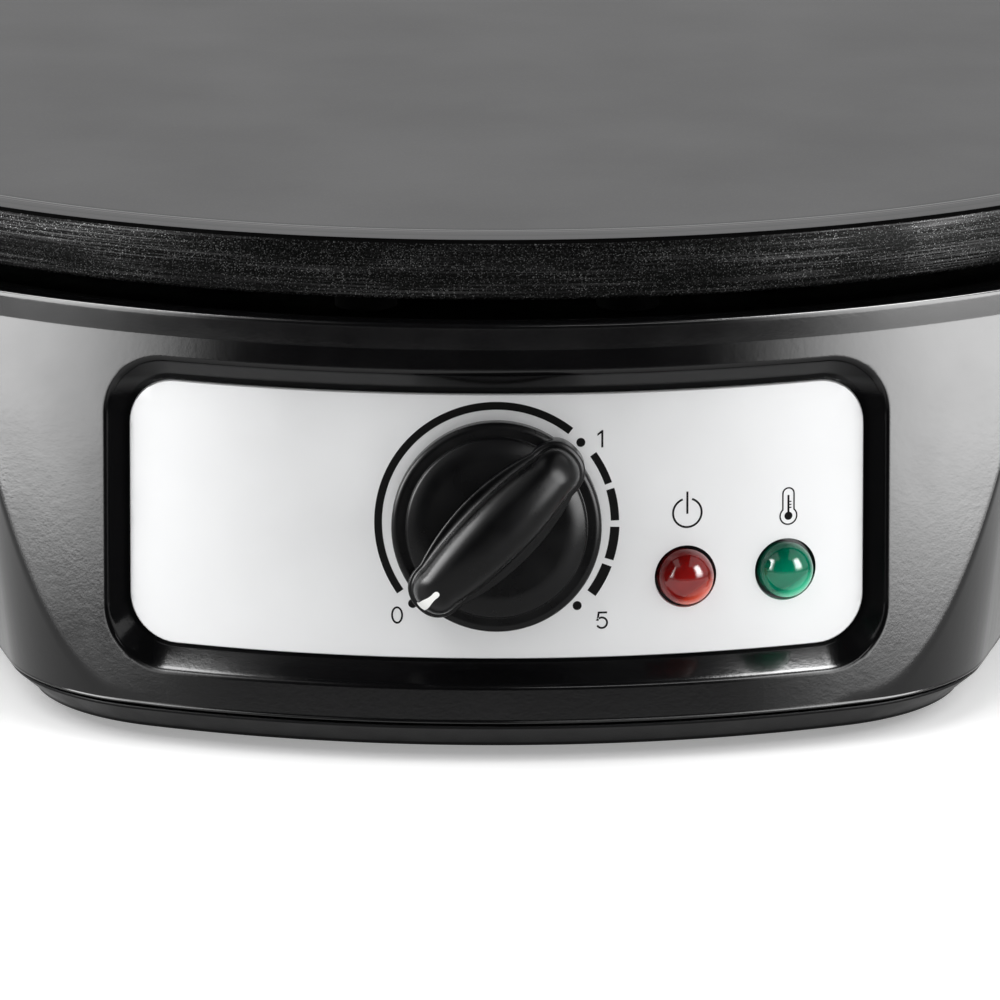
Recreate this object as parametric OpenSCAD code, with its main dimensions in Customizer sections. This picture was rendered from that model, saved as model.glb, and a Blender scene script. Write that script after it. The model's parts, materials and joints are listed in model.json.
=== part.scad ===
// Electric crepe maker: a round cast hot plate on a plastic housing with a
// sunken control panel, one turning knob and two lamps.
// Millimetres. The origin lies on the table under the plate's centre,
// +Z is up, the control panel faces -Y and +X is to its right.

/* [Hot plate] */
// Diameter of the cooking plate
plate_d = 300; // [290:1:310]
// Height of the plate, from the bottom of its skirt to the cooking face
plate_h = 10.7; // [10:0.1:13]
// Thickness of the cooking disc
disc_t = 5; // [4.2:0.1:5.5]
// Thickness of the skirt round the plate's edge
skirt_t = 5; // [3:0.5:8]
// Width of the turned band round the cooking face
rim_w = 6; // [3:0.5:10]
// Fall of that band from its inside to the plate's edge
rim_drop = 0.6; // [0.2:0.1:1.2]
// Diameter of the heating element's ring
element_d = 190; // [180:1:200]
// Diameter of the heating element's sheath
sheath_d = 7.2; // [6.5:0.1:8]
// Angle between the heating element's two ends
element_gap = 28; // [24:1:36]
// Distance of the plate's screws from its centre
plate_screw_r = 60; // [52:1:66]
// Number of screws that hold the plate
plate_screws_n = 3; // [3:1:4]

/* [Housing] */
// How far the housing's lip stands out past the plate
lip_margin = 5; // [4:0.5:8]
// Height of the upright band under the housing's top edge
lip_h = 4.2; // [3:0.1:6]
// Width of the housing's top edge, from outside to inside
lip_t = 4.3; // [3:0.1:5]
// Chamfer of the housing's top edge
lip_edge = 0.6; // [0.3:0.1:1]
// Thickness of the housing's outer wall
wall = 2.6; // [2:0.1:3]
// Lean of the housing's outer wall from upright, in degrees
lean = 9.5; // [8.5:0.1:10.5]
// Height of the upper housing
housing_h = 66.2; // [65:0.1:69]
// Height of the bowl's outer wall below the upright band
bowl_wall_h = 19; // [16:0.5:22]
// Fall of the bowl's underside from its edge towards the plinth
bowl_fall = 7; // [5:0.5:8]
// Depth of the dish under the plate, below the housing's top edge
dish_depth = 12; // [11.8:0.1:12.6]
// Thickness of the dish's floor
deck_t = 2.5; // [2:0.1:3]
// Gap between the housing's top edge and the plate's skirt
plate_gap = 3; // [2.5:0.1:4]

/* [Plinth] */
// Width of the plinth at half its length
plinth_w = 204; // [198:1:210]
// Corner radius of the plinth, seen from above
plinth_corner_r = 38; // [34:1:42]
// Radius of the plinth's bulging sides, seen from above
plinth_side_r = 450; // [420:10:500]
// Outward lean of the plinth's sides, in degrees
plinth_draft = 6.5; // [5:0.1:7]

/* [Bottom cover] */
// Height of the bottom cover's sloping edge
cover_h = 4.7; // [4.4:0.1:6.2]
// How far that edge slopes inwards
cover_slope = 4.2; // [3:0.1:5]
// Thickness of the bottom cover
cover_t = 2.4; // [2:0.1:2.8]
// Dark gap between the bottom cover and the upper housing
parting_gap = 0.4; // [0.3:0.1:0.6]
// Height of the feet below the bottom cover
foot_gap = 2.5; // [2:0.1:4]
// Diameter of a rubber foot
foot_d = 16; // [14:0.5:18]
// Distance of the feet from the middle, left and right
foot_x = 62; // [58:1:66]
// Distance of the feet from the middle, front and back
foot_y = 118; // [112:1:122]
// Distance of the cover's screws from the middle, left and right
cover_screw_x = 78; // [74:1:82]
// Distance of the cover's screws from the middle, front and back
cover_screw_y = 72; // [66:1:78]
// Number of ventilation slots in each of the two rows
vent_count = 7; // [3:1:9]
// Width of a ventilation slot
vent_w = 3; // [2:0.5:4]

/* [Control panel] */
// Width of the silver panel, seen from the front
panel_w = 123.8; // [120:0.2:128]
// Height of the silver panel
panel_h = 43.8; // [42:0.2:45]
// Height of the panel's middle above the housing's lower edge
panel_up = 31.9; // [31:0.1:33]
// Thickness of the silver panel
panel_t = 0.8; // [0.6:0.1:1.2]
// Corner radius of the silver panel
panel_corner = 7.8; // [6:0.2:9]
// Depth of the pocket that the panel lies in
pocket_depth = 5; // [4:0.1:6]
// Width of the pocket's sloping wall at the sides
pocket_side = 3.7; // [3:0.1:4.5]
// Width of the pocket's sloping wall at the top
pocket_top = 4.3; // [3:0.1:4.8]
// Width of the pocket's sloping wall at the bottom
pocket_bottom = 3.4; // [3:0.1:4]
// Corner radius of the pocket's outer edge
pocket_corner = 10; // [8:0.5:12]
// Thickness of the pocket's floor behind the panel
pan_t = 2.2; // [1.8:0.1:2.6]

/* [Knob and thermostat] */
// Height of the knob's axis above the panel's middle
knob_lift = 0.5; // [-1:0.1:1]
// Diameter of the knob's skirt
knob_d = 34.9; // [33:0.1:36]
// Height of the knob's skirt
knob_skirt_h = 5.6; // [5:0.1:6.5]
// Diameter of the raised disc inside the skirt
knob_disc_d = 30; // [28:0.1:31]
// Height of the raised disc above the skirt
knob_disc_h = 1.8; // [1.2:0.1:2.4]
// Height of the whole knob in front of the panel
knob_h = 20.5; // [19:0.1:22]
// Length of the knob's grip
grip_l = 36.9; // [35:0.1:38]
// Width of the grip at its middle
grip_w = 11.5; // [10:0.1:12.5]
// Width of the grip at its ends
grip_end_w = 7.8; // [7:0.1:9]
// Running gap between the knob and the panel
knob_gap = 0.8; // [0.5:0.1:1.2]
// Diameter of the thermostat's spindle
spindle_d = 6; // [5:0.1:6.4]
// Side of the square thermostat body
thermostat_w = 30; // [29:0.5:32]
// Depth of the thermostat body
thermostat_l = 21; // [20:0.5:24]
// Travel of the thermostat's plunger over the knob's full turn
plunger_travel = 0.8; // [0.5:0.1:1]

/* [Lamps] */
// Diameter of a lamp's lens
lens_d = 9.6; // [9:0.1:10]
// Height of a lens in front of the panel
lens_h = 4.2; // [3:0.1:5]
// Distance of the power lamp from the knob's axis, left to right
power_lamp_x = 31.6; // [30.5:0.1:32]
// Distance of the ready lamp from the knob's axis, left to right
ready_lamp_x = 48.5; // [48:0.1:50]
// Height of the lamps below the knob's axis
lamp_drop = 9.5; // [8.5:0.1:10.5]

/* [Cord inlet] */
// Diameter of the bore that the mains cord passes
inlet_bore_d = 7.2; // [6.5:0.1:8]
// Length of the inlet's collar outside the housing
inlet_l = 12; // [11:0.5:14]
// Diameter of the inlet's collar
inlet_d = 17; // [16:0.5:18]
// Height of the inlet above the housing's lower edge
inlet_up = 17.8; // [16:0.1:20]

/* [Hidden] */

$fn = 64;
big = 400;

// Clearances between pieces that are put together.
seat_gap = 0.05;     // between faces that rest on each other
slip_gap = 0.2;      // between a piece and the hole it passes
running_gap = 0.06;  // between a shaft and its bearing
glue_t = 0.15;       // under the silver panel
end_gap = 0.3;       // between a lead and what it is joined to
past = 1;            // how far a cut runs past the face it opens

// Levels above the table.
z_cover = foot_gap;
z_part = z_cover + cover_h;
z_lip = z_part + housing_h;
z_crease = z_lip - lip_h;
z_bowl = z_crease - bowl_wall_h;
z_deck = z_lip - dish_depth;
z_deck_low = z_deck - deck_t;
z_skirt = z_lip + plate_gap;
z_top = z_skirt + plate_h;
z_disc = z_top - disc_t;
z_panel = z_part + panel_up;
z_knob = z_panel + knob_lift;
z_lamp = z_knob - lamp_drop;
z_inlet = z_part + inlet_up;

// Radii of the plate and the housing's top edge.
plate_r = plate_d / 2;
body_r = plate_r + lip_margin;
dish_r = body_r - lip_t;

// Radius of the housing's leaning wall at height z, moved inwards by inset.
function wall_r(z, inset = 0) =
  body_r + (z_crease - z) * tan(lean) - inset / cos(lean);

// The silver panel's outer face lies this far inside the leaning wall.
panel_inset = pocket_depth - panel_t - glue_t;

// Points of an arc about c, from angle a to angle b.
function arc(c, r, a, b, n = 8) =
  [for (i = [0:n]) c + r * [cos(a + (b - a) * i / n), sin(a + (b - a) * i / n)]];

// Outline of a rectangle with round corners, centred on the origin.
function round_rect(w, h, r, n = 8) = concat(
  arc([w / 2 - r, h / 2 - r], r, 0, 90, n),
  arc([r - w / 2, h / 2 - r], r, 90, 180, n),
  arc([r - w / 2, r - h / 2], r, 180, 270, n),
  arc([w / 2 - r, r - h / 2], r, 270, 360, n));

// Seen from above the plinth has round ends, bulging sides and corner arcs
// that run into both. One quarter is worked out and then mirrored twice.
plinth_step = 0.3;
plinth_flare = 3;
function plinth_quarter(inset, flare) =
  let (
    end_r = wall_r(z_part) - plinth_step - inset,
    corner_r = plinth_corner_r - inset,
    side_r = plinth_side_r - inset,
    side_x = plinth_w / 2 - plinth_side_r,
    a = end_r - corner_r,
    b = side_r - corner_r,
    cx = (a * a + side_x * side_x - b * b) / (2 * side_x),
    cy = sqrt(a * a - cx * cx),
    end_angle = atan2(cy, cx),
    side_angle = atan2(cy, cx - side_x))
  concat(
    [for (i = [0:3]) let (t = side_angle * i / 4)
      [side_x, 0] + side_r * [cos(t), sin(t)]],
    arc([cx, cy], corner_r, side_angle, end_angle, 8),
    [for (i = [flare > 0 ? 0 : 1:8]) let (t = end_angle + (90 - end_angle) * i / 8)
      (end_r + flare) * [cos(t), sin(t)]]);
function swap_x(p) = [for (i = [len(p) - 1:-1:0]) [-p[i][0], p[i][1]]];
function swap_y(p) = [for (i = [len(p) - 1:-1:0]) [p[i][0], -p[i][1]]];
function inner(p, last) = [for (i = [1:len(p) - last]) p[i]];
function plinth_outline(inset = 0) =
  let (
    quarter = plinth_quarter(inset, 0),
    half = concat(quarter, inner(swap_x(quarter), 1)))
  concat(half, inner(swap_y(half), 2));
// The right half, with its round ends moved outwards by plinth_flare, past
// the leaning wall.
function plinth_right_half(inset) =
  let (quarter = plinth_quarter(inset, plinth_flare))
  concat(swap_y(quarter), inner(quarter, 1));

// Places its children on the housing's leaning wall: their +Z points out of
// the wall and their +Y up it. across is the distance to the right of the
// middle, seen from the front, and inset the depth below the outer face.
module on_wall(z, across = 0, inset = 0, turn = 0) {
  r = wall_r(z, inset);
  rotate([0, 0, turn + asin(across / r)])
    translate([0, -r, z])
      rotate([90 - lean, 0, 0])
        children();
}

module at_knob() {
  on_wall(z_knob, 0, panel_inset) children();
}

module at_power_lamp() {
  on_wall(z_lamp, power_lamp_x, panel_inset) children();
}

module at_ready_lamp() {
  on_wall(z_lamp, ready_lamp_x, panel_inset) children();
}

module at_inlet() {
  on_wall(z_inlet, 0, 0, 180) children();
}

// A tube from height a to height b.
module tube(r_out, r_in, a, b) {
  translate([0, 0, a])
    difference() {
      cylinder(r = r_out, h = b - a);
      translate([0, 0, -1]) cylinder(r = r_in, h = b - a + 2);
    }
}

// A rod from height a to height b.
module rod(r, a, b) {
  translate([0, 0, a]) cylinder(r = r, h = b - a);
}

// ---------------------------------------------------------------- hot plate

element_r = element_d / 2;
sheath_r = sheath_d / 2;
ring_wall = 4;
ring_half_w = sheath_r + ring_wall;
ring_h = 5.6;
z_ring = z_disc - ring_h;
element_lift = 1;
z_element = z_ring + element_lift;
boss_r = 6;
boss_h = 8.5;
z_boss = z_disc - boss_h;
screw_r = 1.9;
screw_head_r = 3.8;
screw_head_h = 2.6;
screw_bite = 7;
function plate_screw_angle(i) = 90 + 360 * i / plate_screws_n;

// Studs on the plate's underside that the bulb's clip, the fuse's clip and
// the earth lead are screwed to.
stud_r = 4;
stud_h = 6;
bulb_stud = [0, 22];
fuse_stud = [-34, 5];
earth_stud = [-34, 30];
z_stud = z_disc - stud_h;

module at_plate_screws() {
  for (i = [0:plate_screws_n - 1])
    rotate([0, 0, plate_screw_angle(i)]) translate([plate_screw_r, 0, 0]) children();
}

module hot_plate() {
  color([0.27, 0.27, 0.27])
  difference() {
    union() {
      rotate_extrude($fn = 180)
        polygon([[0, z_disc], [plate_r - skirt_t, z_disc], [plate_r - skirt_t, z_skirt],
          [plate_r, z_skirt], [plate_r, z_top - rim_drop], [plate_r - rim_w, z_top], [0, z_top]]);
      tube(element_r + ring_half_w, element_r - ring_half_w, z_ring, z_disc + past);
      at_plate_screws() rod(boss_r, z_boss, z_disc + past);
      for (p = [bulb_stud, fuse_stud, earth_stud])
        translate([p[0], p[1], 0]) rod(stud_r, z_stud, z_disc + past);
    }
    translate([0, 0, z_element])
      rotate_extrude() translate([element_r, 0]) circle(r = sheath_r + seat_gap);
    at_element_ends() translate([0, 0, z_element]) sphere(r = elbow_r + seat_gap);
    at_plate_screws() rod(screw_r + seat_gap, z_boss - past, z_boss + screw_bite);
    for (p = [bulb_stud, fuse_stud, earth_stud])
      translate([p[0], p[1], 0])
        rod(clip_screw_r + seat_gap, z_stud - past, z_stud + clip_screw_bite);
  }
}

pin_r = 2.2;
pin_low = 46;
bead_r = 5.5;
bead_neck_r = 4;
bead_neck_out = 3;
bead_gap = 3;
elbow_swell = 0.4;
elbow_r = sheath_r + elbow_swell;
function element_end(side) = 270 + side * element_gap / 2;

module at_element_ends() {
  for (side = [-1, 1])
    rotate([0, 0, element_end(side)]) translate([element_r, 0, 0]) children();
}

module heating_element() {
  color([0.5, 0.48, 0.45])
  union() {
    translate([0, 0, z_element])
      rotate([0, 0, element_end(1)])
        rotate_extrude(angle = 360 - element_gap)
          translate([element_r, 0]) circle(r = sheath_r);
    at_element_ends() {
      translate([0, 0, z_element]) sphere(r = elbow_r);
      rod(pin_r, pin_low, z_element);
    }
  }
}

module terminal_insulators() {
  color([0.92, 0.9, 0.84])
  at_element_ends() {
    difference() {
      union() {
        rod(bead_neck_r, z_deck_low - bead_neck_out, z_deck + pan_sheet_t + past);
        rod(bead_r, z_deck + pan_lift + pan_sheet_t + seat_gap, z_ring - bead_gap);
      }
      rod(pin_r + running_gap, z_deck_low - bead_neck_out - past, z_ring);
    }
  }
}

// ------------------------------------------------------------ reflector pan

pan_sheet_t = 0.8;
pan_lift = seat_gap;
pan_rim_w = 4;
pan_slope_w = 20;
pan_side_gap = 8.7;
pan_rim_r = dish_r - pan_side_gap - pan_rim_w;
pan_flat_r = pan_rim_r - pan_slope_w;
pan_rim_drop = 3;
pan_bend = 0.5;
z_pan_rim = z_lip - pan_rim_drop;

module reflector_pan() {
  low = z_deck + pan_lift;
  high = z_pan_rim + pan_lift;
  color([0.78, 0.79, 0.8])
  difference() {
    rotate_extrude()
      polygon([[0, low], [pan_flat_r, low], [pan_rim_r, high],
        [pan_rim_r + pan_rim_w, high], [pan_rim_r + pan_rim_w, high + pan_sheet_t],
        [pan_rim_r - pan_bend, high + pan_sheet_t],
        [pan_flat_r - pan_bend, low + pan_sheet_t], [0, low + pan_sheet_t]]);
    at_plate_screws() rod(spacer_r + slip_gap, z_deck - past, low + pan_sheet_t + past);
    at_element_ends() rod(bead_neck_r + slip_gap, z_deck - past, low + pan_sheet_t + past);
    for (h = lead_holes)
      translate([h[0], h[1], 0]) rod(h[2], z_deck - past, low + pan_sheet_t + past);
  }
}

spacer_r = 5;

module plate_spacers() {
  color([0.9, 0.88, 0.82])
  at_plate_screws() tube(spacer_r, screw_r + slip_gap, z_deck + seat_gap, z_boss - seat_gap);
}

module plate_screws() {
  color([0.7, 0.7, 0.72])
  at_plate_screws() {
    rod(screw_r, z_deck_low - screw_head_h / 2, z_boss + screw_bite - past);
    difference() {
      rod(screw_head_r, z_deck_low - seat_gap - screw_head_h, z_deck_low - seat_gap);
      cross_slot(z_deck_low - seat_gap - screw_head_h, screw_head_h / 2);
    }
  }
}

// A cross for a screwdriver, cut upwards from height z.
slot_l = 4.4;
slot_w = 0.9;
module cross_slot(z, depth) {
  for (a = [0, 90])
    rotate([0, 0, a])
      translate([-slot_l / 2, -slot_w / 2, z - past]) cube([slot_l, slot_w, depth + past]);
}

// ------------------------------------------------------------ upper housing

// Holes in the dish's floor that the leads and the capillary pass: x, y, r.
lead_holes = [[0, -22, 7], [0, -80, 6]];

cover_screw_r = 1.5;
cover_boss_r = 4.5;
cover_screw_bite = 12;
inlet_neck_r = 5.8;
bush_r = 4.8;

module at_cover_screws() {
  for (x = [-1, 1], y = [-1, 1])
    translate([x * cover_screw_x, y * cover_screw_y, 0]) children();
}

// The leaning wall with the upright band on top, as a solid.
band_lean = 0.3;
module leaning_body(inset) {
  low = z_part - past;
  top_r = body_r - band_lean;
  rotate_extrude($fn = 180)
    polygon(concat(
      [[0, low], [wall_r(low, inset), low], [wall_r(z_crease, inset), z_crease]],
      inset > 0 ? [[0, z_crease]] :
        [[top_r, z_lip - lip_edge], [top_r - lip_edge, z_lip], [0, z_lip]]));
}

// Everything above the bowl's underside, wider than the housing. The
// underside is level beside the plinth and rounds upwards to the wall.
bowl_level_w = 6;
bowl_edge_w = 4;
bowl_edge = [[-10, -2.4], [0, -0.6], [8, 3]];
module above_bowl(inset) {
  low = z_bowl - bowl_fall + inset;
  edge = [wall_r(z_bowl) - bowl_edge_w, z_bowl + inset];
  last = edge + bowl_edge[len(bowl_edge) - 1];
  rotate_extrude($fn = 180)
    polygon(concat([[0, low], [plinth_w / 2 + bowl_level_w, low]],
      [for (p = bowl_edge) edge + p], [[last[0], big], [0, big]]));
}

// The plinth's sides lean outwards to the left and right.
plinth_below = 12;
plinth_above = 78;
module plinth_sides(inset) {
  half = plinth_right_half(inset);
  end_y = half[len(half) - 1][1];
  intersection_for (side = [0, 1])
    mirror([side, 0, 0])
      translate([0, 0, z_part])
        rotate([0, plinth_draft, 0])
          translate([0, 0, -plinth_below])
            linear_extrude(height = plinth_below + plinth_above)
              polygon(concat(half, [[-big, end_y], [-big, -end_y]]));
}

module body_form(inset = 0) {
  intersection() {
    leaning_body(inset);
    union() {
      plinth_sides(inset);
      above_bowl(inset);
    }
  }
}

// The pocket in the front wall. Its floor follows the wall, its edges slope,
// and grow makes the larger form that becomes its walls and floor.
pocket_reach = 4;
wedge_reach = [-1.6, 11];
pocket_spare = 1;
front_arc = 90;
function ray(from, to, k) = from + k * (to - from);
module pocket_form(grow = 0) {
  low_z = z_panel - panel_h / 2 - grow;
  high_z = z_panel + panel_h / 2 + grow;
  depth = pocket_depth + grow;
  low_in = [wall_r(low_z, depth), low_z];
  low_out = [wall_r(low_z - pocket_bottom), low_z - pocket_bottom];
  high_in = [wall_r(high_z, depth), high_z];
  high_out = [wall_r(high_z + pocket_top), high_z + pocket_top];
  half_in = panel_w / 2 + grow;
  half_out = half_in + pocket_side;
  side_in = [half_in, -sqrt(pow(wall_r(z_panel, depth), 2) - half_in * half_in)];
  side_out = [half_out, -sqrt(pow(wall_r(z_panel), 2) - half_out * half_out)];
  near = ray(side_in, side_out, wedge_reach[0]);
  far = ray(side_in, side_out, wedge_reach[1]);
  // The side walls lean with the wall beside them.
  side_lean = atan(tan(lean) / cos(asin(half_in / wall_r(z_panel, depth))));
  frame_w = 2 * half_out + pocket_spare;
  frame_h = high_out[1] - low_out[1] + pocket_spare;
  frame_z = (high_out[1] + low_out[1]) / 2;
  intersection() {
    rotate([0, 0, 270 - front_arc / 2])
      rotate_extrude(angle = front_arc, $fn = 180)
        polygon([low_in, ray(low_in, low_out, pocket_reach),
          ray(high_in, high_out, pocket_reach), high_in]);
    translate([0, 0, z_panel])
      rotate([-side_lean, 0, 0])
        linear_extrude(height = big, center = true)
          polygon([for (p = [near, far, [-far[0], far[1]], [-near[0], near[1]]])
            [p[0], p[1] * cos(side_lean)]]);
    translate([0, 0, frame_z])
      rotate([90, 0, 0])
        linear_extrude(height = big)
          polygon(round_rect(frame_w, frame_h, pocket_corner + grow));
  }
}

module wall_hole(r) {
  rod(r + slip_gap, -15, 5);
}

module deck_hole(r) {
  rod(r, z_deck_low - past, z_deck + past);
}

module upper_housing() {
  color([0.05, 0.05, 0.05])
  difference() {
    union() {
      difference() {
        body_form(0);
        // The hollow under the dish.
        intersection() {
          body_form(wall);
          rod(big, z_part - past, z_deck_low);
        }
      }
      intersection() {
        pocket_form(pan_t);
        body_form(wall / 2);
      }
      at_cover_screws() rod(cover_boss_r, z_part + parting_gap, z_deck_low + past);
      at_knob() rod(bush_seat_r, bush_seat_z, -panel_t - glue_t - past);
    }
    // The dish under the plate.
    rod(dish_r, z_deck, z_lip + past);
    pocket_form(0);
    at_knob() wall_hole(bush_r);
    at_power_lamp() wall_hole(lens_r);
    at_ready_lamp() wall_hole(lens_r);
    at_inlet() wall_hole(inlet_neck_r);
    at_cover_screws() rod(cover_screw_r + seat_gap, z_part - past, z_part + cover_screw_bite);
    at_plate_screws() deck_hole(screw_r + slip_gap);
    at_element_ends() deck_hole(bead_neck_r + slip_gap);
    for (h = lead_holes) translate([h[0], h[1], 0]) deck_hole(h[2]);
    // The housing ends a little above the bottom cover.
    rod(big, -past, z_part + parting_gap);
  }
}

// ------------------------------------------------------------- bottom cover

// Upright edge at the top and the bottom of the sloping form.
cover_edge_h = 0.5;
module cover_form(inset) {
  hull() {
    translate([0, 0, z_part - cover_edge_h])
      linear_extrude(height = cover_edge_h) polygon(plinth_outline(inset));
    translate([0, 0, z_cover])
      linear_extrude(height = cover_edge_h) polygon(plinth_outline(inset + cover_slope));
  }
}

cover_screw_head_r = 3;
cover_screw_sink = 2.4;
cover_screw_head_h = 1.8;
foot_recess = 1.2;
foot_edge = 1;
foot_peg_r = 2.4;
foot_peg_out = 1.5;
vent_l = 26;
vent_pitch = 8;
vent_y = 40;

module at_feet() {
  for (x = [-1, 1], y = [-1, 1])
    translate([x * foot_x, y * foot_y, 0]) children();
}

module bottom_cover() {
  color([0.09, 0.09, 0.09])
  difference() {
    union() {
      difference() {
        cover_form(0);
        translate([0, 0, cover_t]) cover_form(wall);
      }
      at_cover_screws() rod(cover_boss_r, z_cover + cover_edge_h, z_part);
      at_block_screws() rod(block_post_r, z_cover + cover_edge_h, z_block);
    }
    at_feet() {
      rod(foot_d / 2 + slip_gap, z_cover - past, z_cover + foot_recess);
      rod(foot_peg_r + seat_gap, z_cover - past, z_part);
    }
    at_cover_screws() {
      rod(cover_screw_r + slip_gap, z_cover - past, z_part + past);
      rod(cover_screw_head_r + slip_gap, z_cover - past, z_cover + cover_screw_sink);
    }
    at_block_screws() rod(block_screw_r + seat_gap, z_block_hole, z_block + past);
    for (row = [-1, 1], i = [0:vent_count - 1])
      translate([(i - (vent_count - 1) / 2) * vent_pitch - vent_w / 2,
          row * vent_y - vent_l / 2, z_cover - past])
        cube([vent_w, vent_l, cover_t + 2 * past]);
  }
}

module foot(side_x, side_y) {
  color([0.13, 0.13, 0.13])
  translate([side_x * foot_x, side_y * foot_y, 0])
  rotate_extrude()
    polygon([[0, 0], [foot_d / 2 - foot_edge, 0], [foot_d / 2, foot_edge],
      [foot_d / 2, z_cover + foot_recess - seat_gap],
      [foot_peg_r, z_cover + foot_recess - seat_gap],
      [foot_peg_r, z_cover + cover_t + foot_peg_out], [0, z_cover + cover_t + foot_peg_out]]);
}

module foot_front_left() {
  foot(-1, -1);
}

module foot_front_right() {
  foot(1, -1);
}

module foot_rear_left() {
  foot(-1, 1);
}

module foot_rear_right() {
  foot(1, 1);
}

module cover_screws() {
  high = z_cover + cover_screw_sink - seat_gap;
  low = high - cover_screw_head_h;
  color([0.62, 0.62, 0.64])
  at_cover_screws() {
    rod(cover_screw_r, high - cover_screw_head_h / 2, z_part + cover_screw_bite - past);
    difference() {
      rod(cover_screw_head_r, low, high);
      cross_slot(low, cover_screw_head_h / 2);
    }
  }
}

// ----------------------------------------------------------- control fascia

panel_arc = 70;
panel_spare = 5;
module panel_shell(from_inset, to_inset) {
  low = z_panel - panel_h / 2 - panel_spare;
  high = z_panel + panel_h / 2 + panel_spare;
  rotate([0, 0, 270 - panel_arc / 2])
    rotate_extrude(angle = panel_arc, $fn = 180)
      polygon([[wall_r(low, to_inset), low], [wall_r(low, from_inset), low],
        [wall_r(high, from_inset), high], [wall_r(high, to_inset), high]]);
}

module control_fascia() {
  color([0.84, 0.85, 0.86])
  difference() {
    intersection() {
      panel_shell(panel_inset, panel_inset + panel_t);
      translate([0, 0, z_panel])
        rotate([90, 0, 0])
          linear_extrude(height = big)
            polygon(round_rect(panel_w - slip_gap, panel_h - slip_gap, panel_corner));
    }
    at_knob() wall_hole(bush_r);
    at_power_lamp() wall_hole(lens_r + lens_ring);
    at_ready_lamp() wall_hole(lens_r + lens_ring);
  }
}

// -------------------------------------------------------------------- lamps

lens_r = lens_d / 2;
lens_ring = 0.2;
lens_base_h = 0.8;
lens_flange_r = 6.2;
lens_flange_t = 1.2;
lens_seat = 0.35;
lens_back = -panel_t - glue_t - pan_t - lens_seat;
dome_h = lens_h - lens_base_h;
dome_r = (lens_r * lens_r + dome_h * dome_h) / (2 * dome_h);
lens_wall = 1;
holder_l = 14;
holder_floor = 2;
holder_top = lens_back - lens_flange_t - seat_gap;
holder_low = holder_top - holder_l;
neon_r = 2.6;
neon_tip_r = 1.7;
neon_tip_l = 1;
neon_l = 12;
neon_low = holder_low + holder_floor + seat_gap;

module lens() {
  difference() {
    union() {
      intersection() {
        rod(lens_r, lens_back - lens_flange_t / 2, lens_h + past);
        union() {
          translate([0, 0, lens_h - dome_r]) sphere(r = dome_r);
          rod(big, lens_back - lens_flange_t, lens_base_h);
        }
      }
      rod(lens_flange_r, lens_back - lens_flange_t, lens_back);
    }
    rod(lens_r - lens_wall, lens_back - lens_flange_t - past, lens_base_h);
  }
}

module lamp_holder() {
  difference() {
    rod(lens_flange_r, holder_low, holder_top);
    rod(neon_r + slip_gap, neon_low - seat_gap, holder_top + past);
    rod(lamp_lead_r + slip_gap, holder_low - past, holder_top);
  }
}

module neon() {
  union() {
    rod(neon_r, neon_low, neon_low + neon_l - neon_tip_l);
    rod(neon_tip_r, neon_low, neon_low + neon_l);
  }
}

module power_lamp_lens() {
  color([0.75, 0.08, 0.06, 0.85]) at_power_lamp() lens();
}

module ready_lamp_lens() {
  color([0.0, 0.5, 0.3, 0.85]) at_ready_lamp() lens();
}

module power_lamp_holder() {
  color([0.1, 0.1, 0.1]) at_power_lamp() lamp_holder();
}

module ready_lamp_holder() {
  color([0.1, 0.1, 0.1]) at_ready_lamp() lamp_holder();
}

module power_neon() {
  color([0.9, 0.8, 0.7, 0.6]) at_power_lamp() neon();
}

module ready_neon() {
  color([0.8, 0.9, 0.8, 0.6]) at_ready_lamp() neon();
}

// --------------------------------------------------------------------- knob

spindle_r = spindle_d / 2;
knob_r = knob_d / 2;
knob_wall = 2;
hub_r = 5;
hub_low = 4.2;
hub_depth = 13;
flat_cut = 0.8;
flat_l = 20;
knob_round = 1.2;
disc_crown = 0.5;
pointer_angle = 225;
pointer_w = 1.5;
pointer_in = 13.4;
pointer_depth = 0.8;
pointer_drop = 1.4;
grip_fall = 4.6;
grip_end_h = knob_h - grip_fall;
grip_tip = 2;

// The grip, along X, from the knob's base upwards.
module grip(grow = 0) {
  half_l = grip_l / 2;
  // Both sides are arcs through the grip's full width and its end width.
  bulge = (grip_w - grip_end_w) / 2;
  run = half_l - grip_tip;
  side_r = (run * run + bulge * bulge) / (2 * bulge);
  arch_r = (half_l * half_l + grip_fall * grip_fall) / (2 * grip_fall);
  intersection() {
    linear_extrude(height = knob_h + past)
      intersection() {
        translate([0, grip_w / 2 - side_r]) circle(r = side_r + grow, $fn = 180);
        translate([0, side_r - grip_w / 2]) circle(r = side_r + grow, $fn = 180);
        circle(r = half_l + grow);
      }
    translate([0, 0, knob_h - arch_r])
      rotate([90, 0, 0]) cylinder(r = arch_r + grow, h = knob_d, center = true, $fn = 180);
    rod(big, knob_gap, big);
  }
}

module pointer_slot(side_gap) {
  low = grip_end_h - pointer_depth - pointer_drop;
  translate([pointer_in + side_gap, -pointer_w / 2 + side_gap, low])
    cube([grip_l, pointer_w - 2 * side_gap, knob_h]);
}

// The grip without its outer skin, to sit the pointer in.
module grip_core() {
  translate([0, 0, -pointer_depth]) scale(1 - 2 * pointer_depth / grip_l) grip(0);
}

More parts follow.
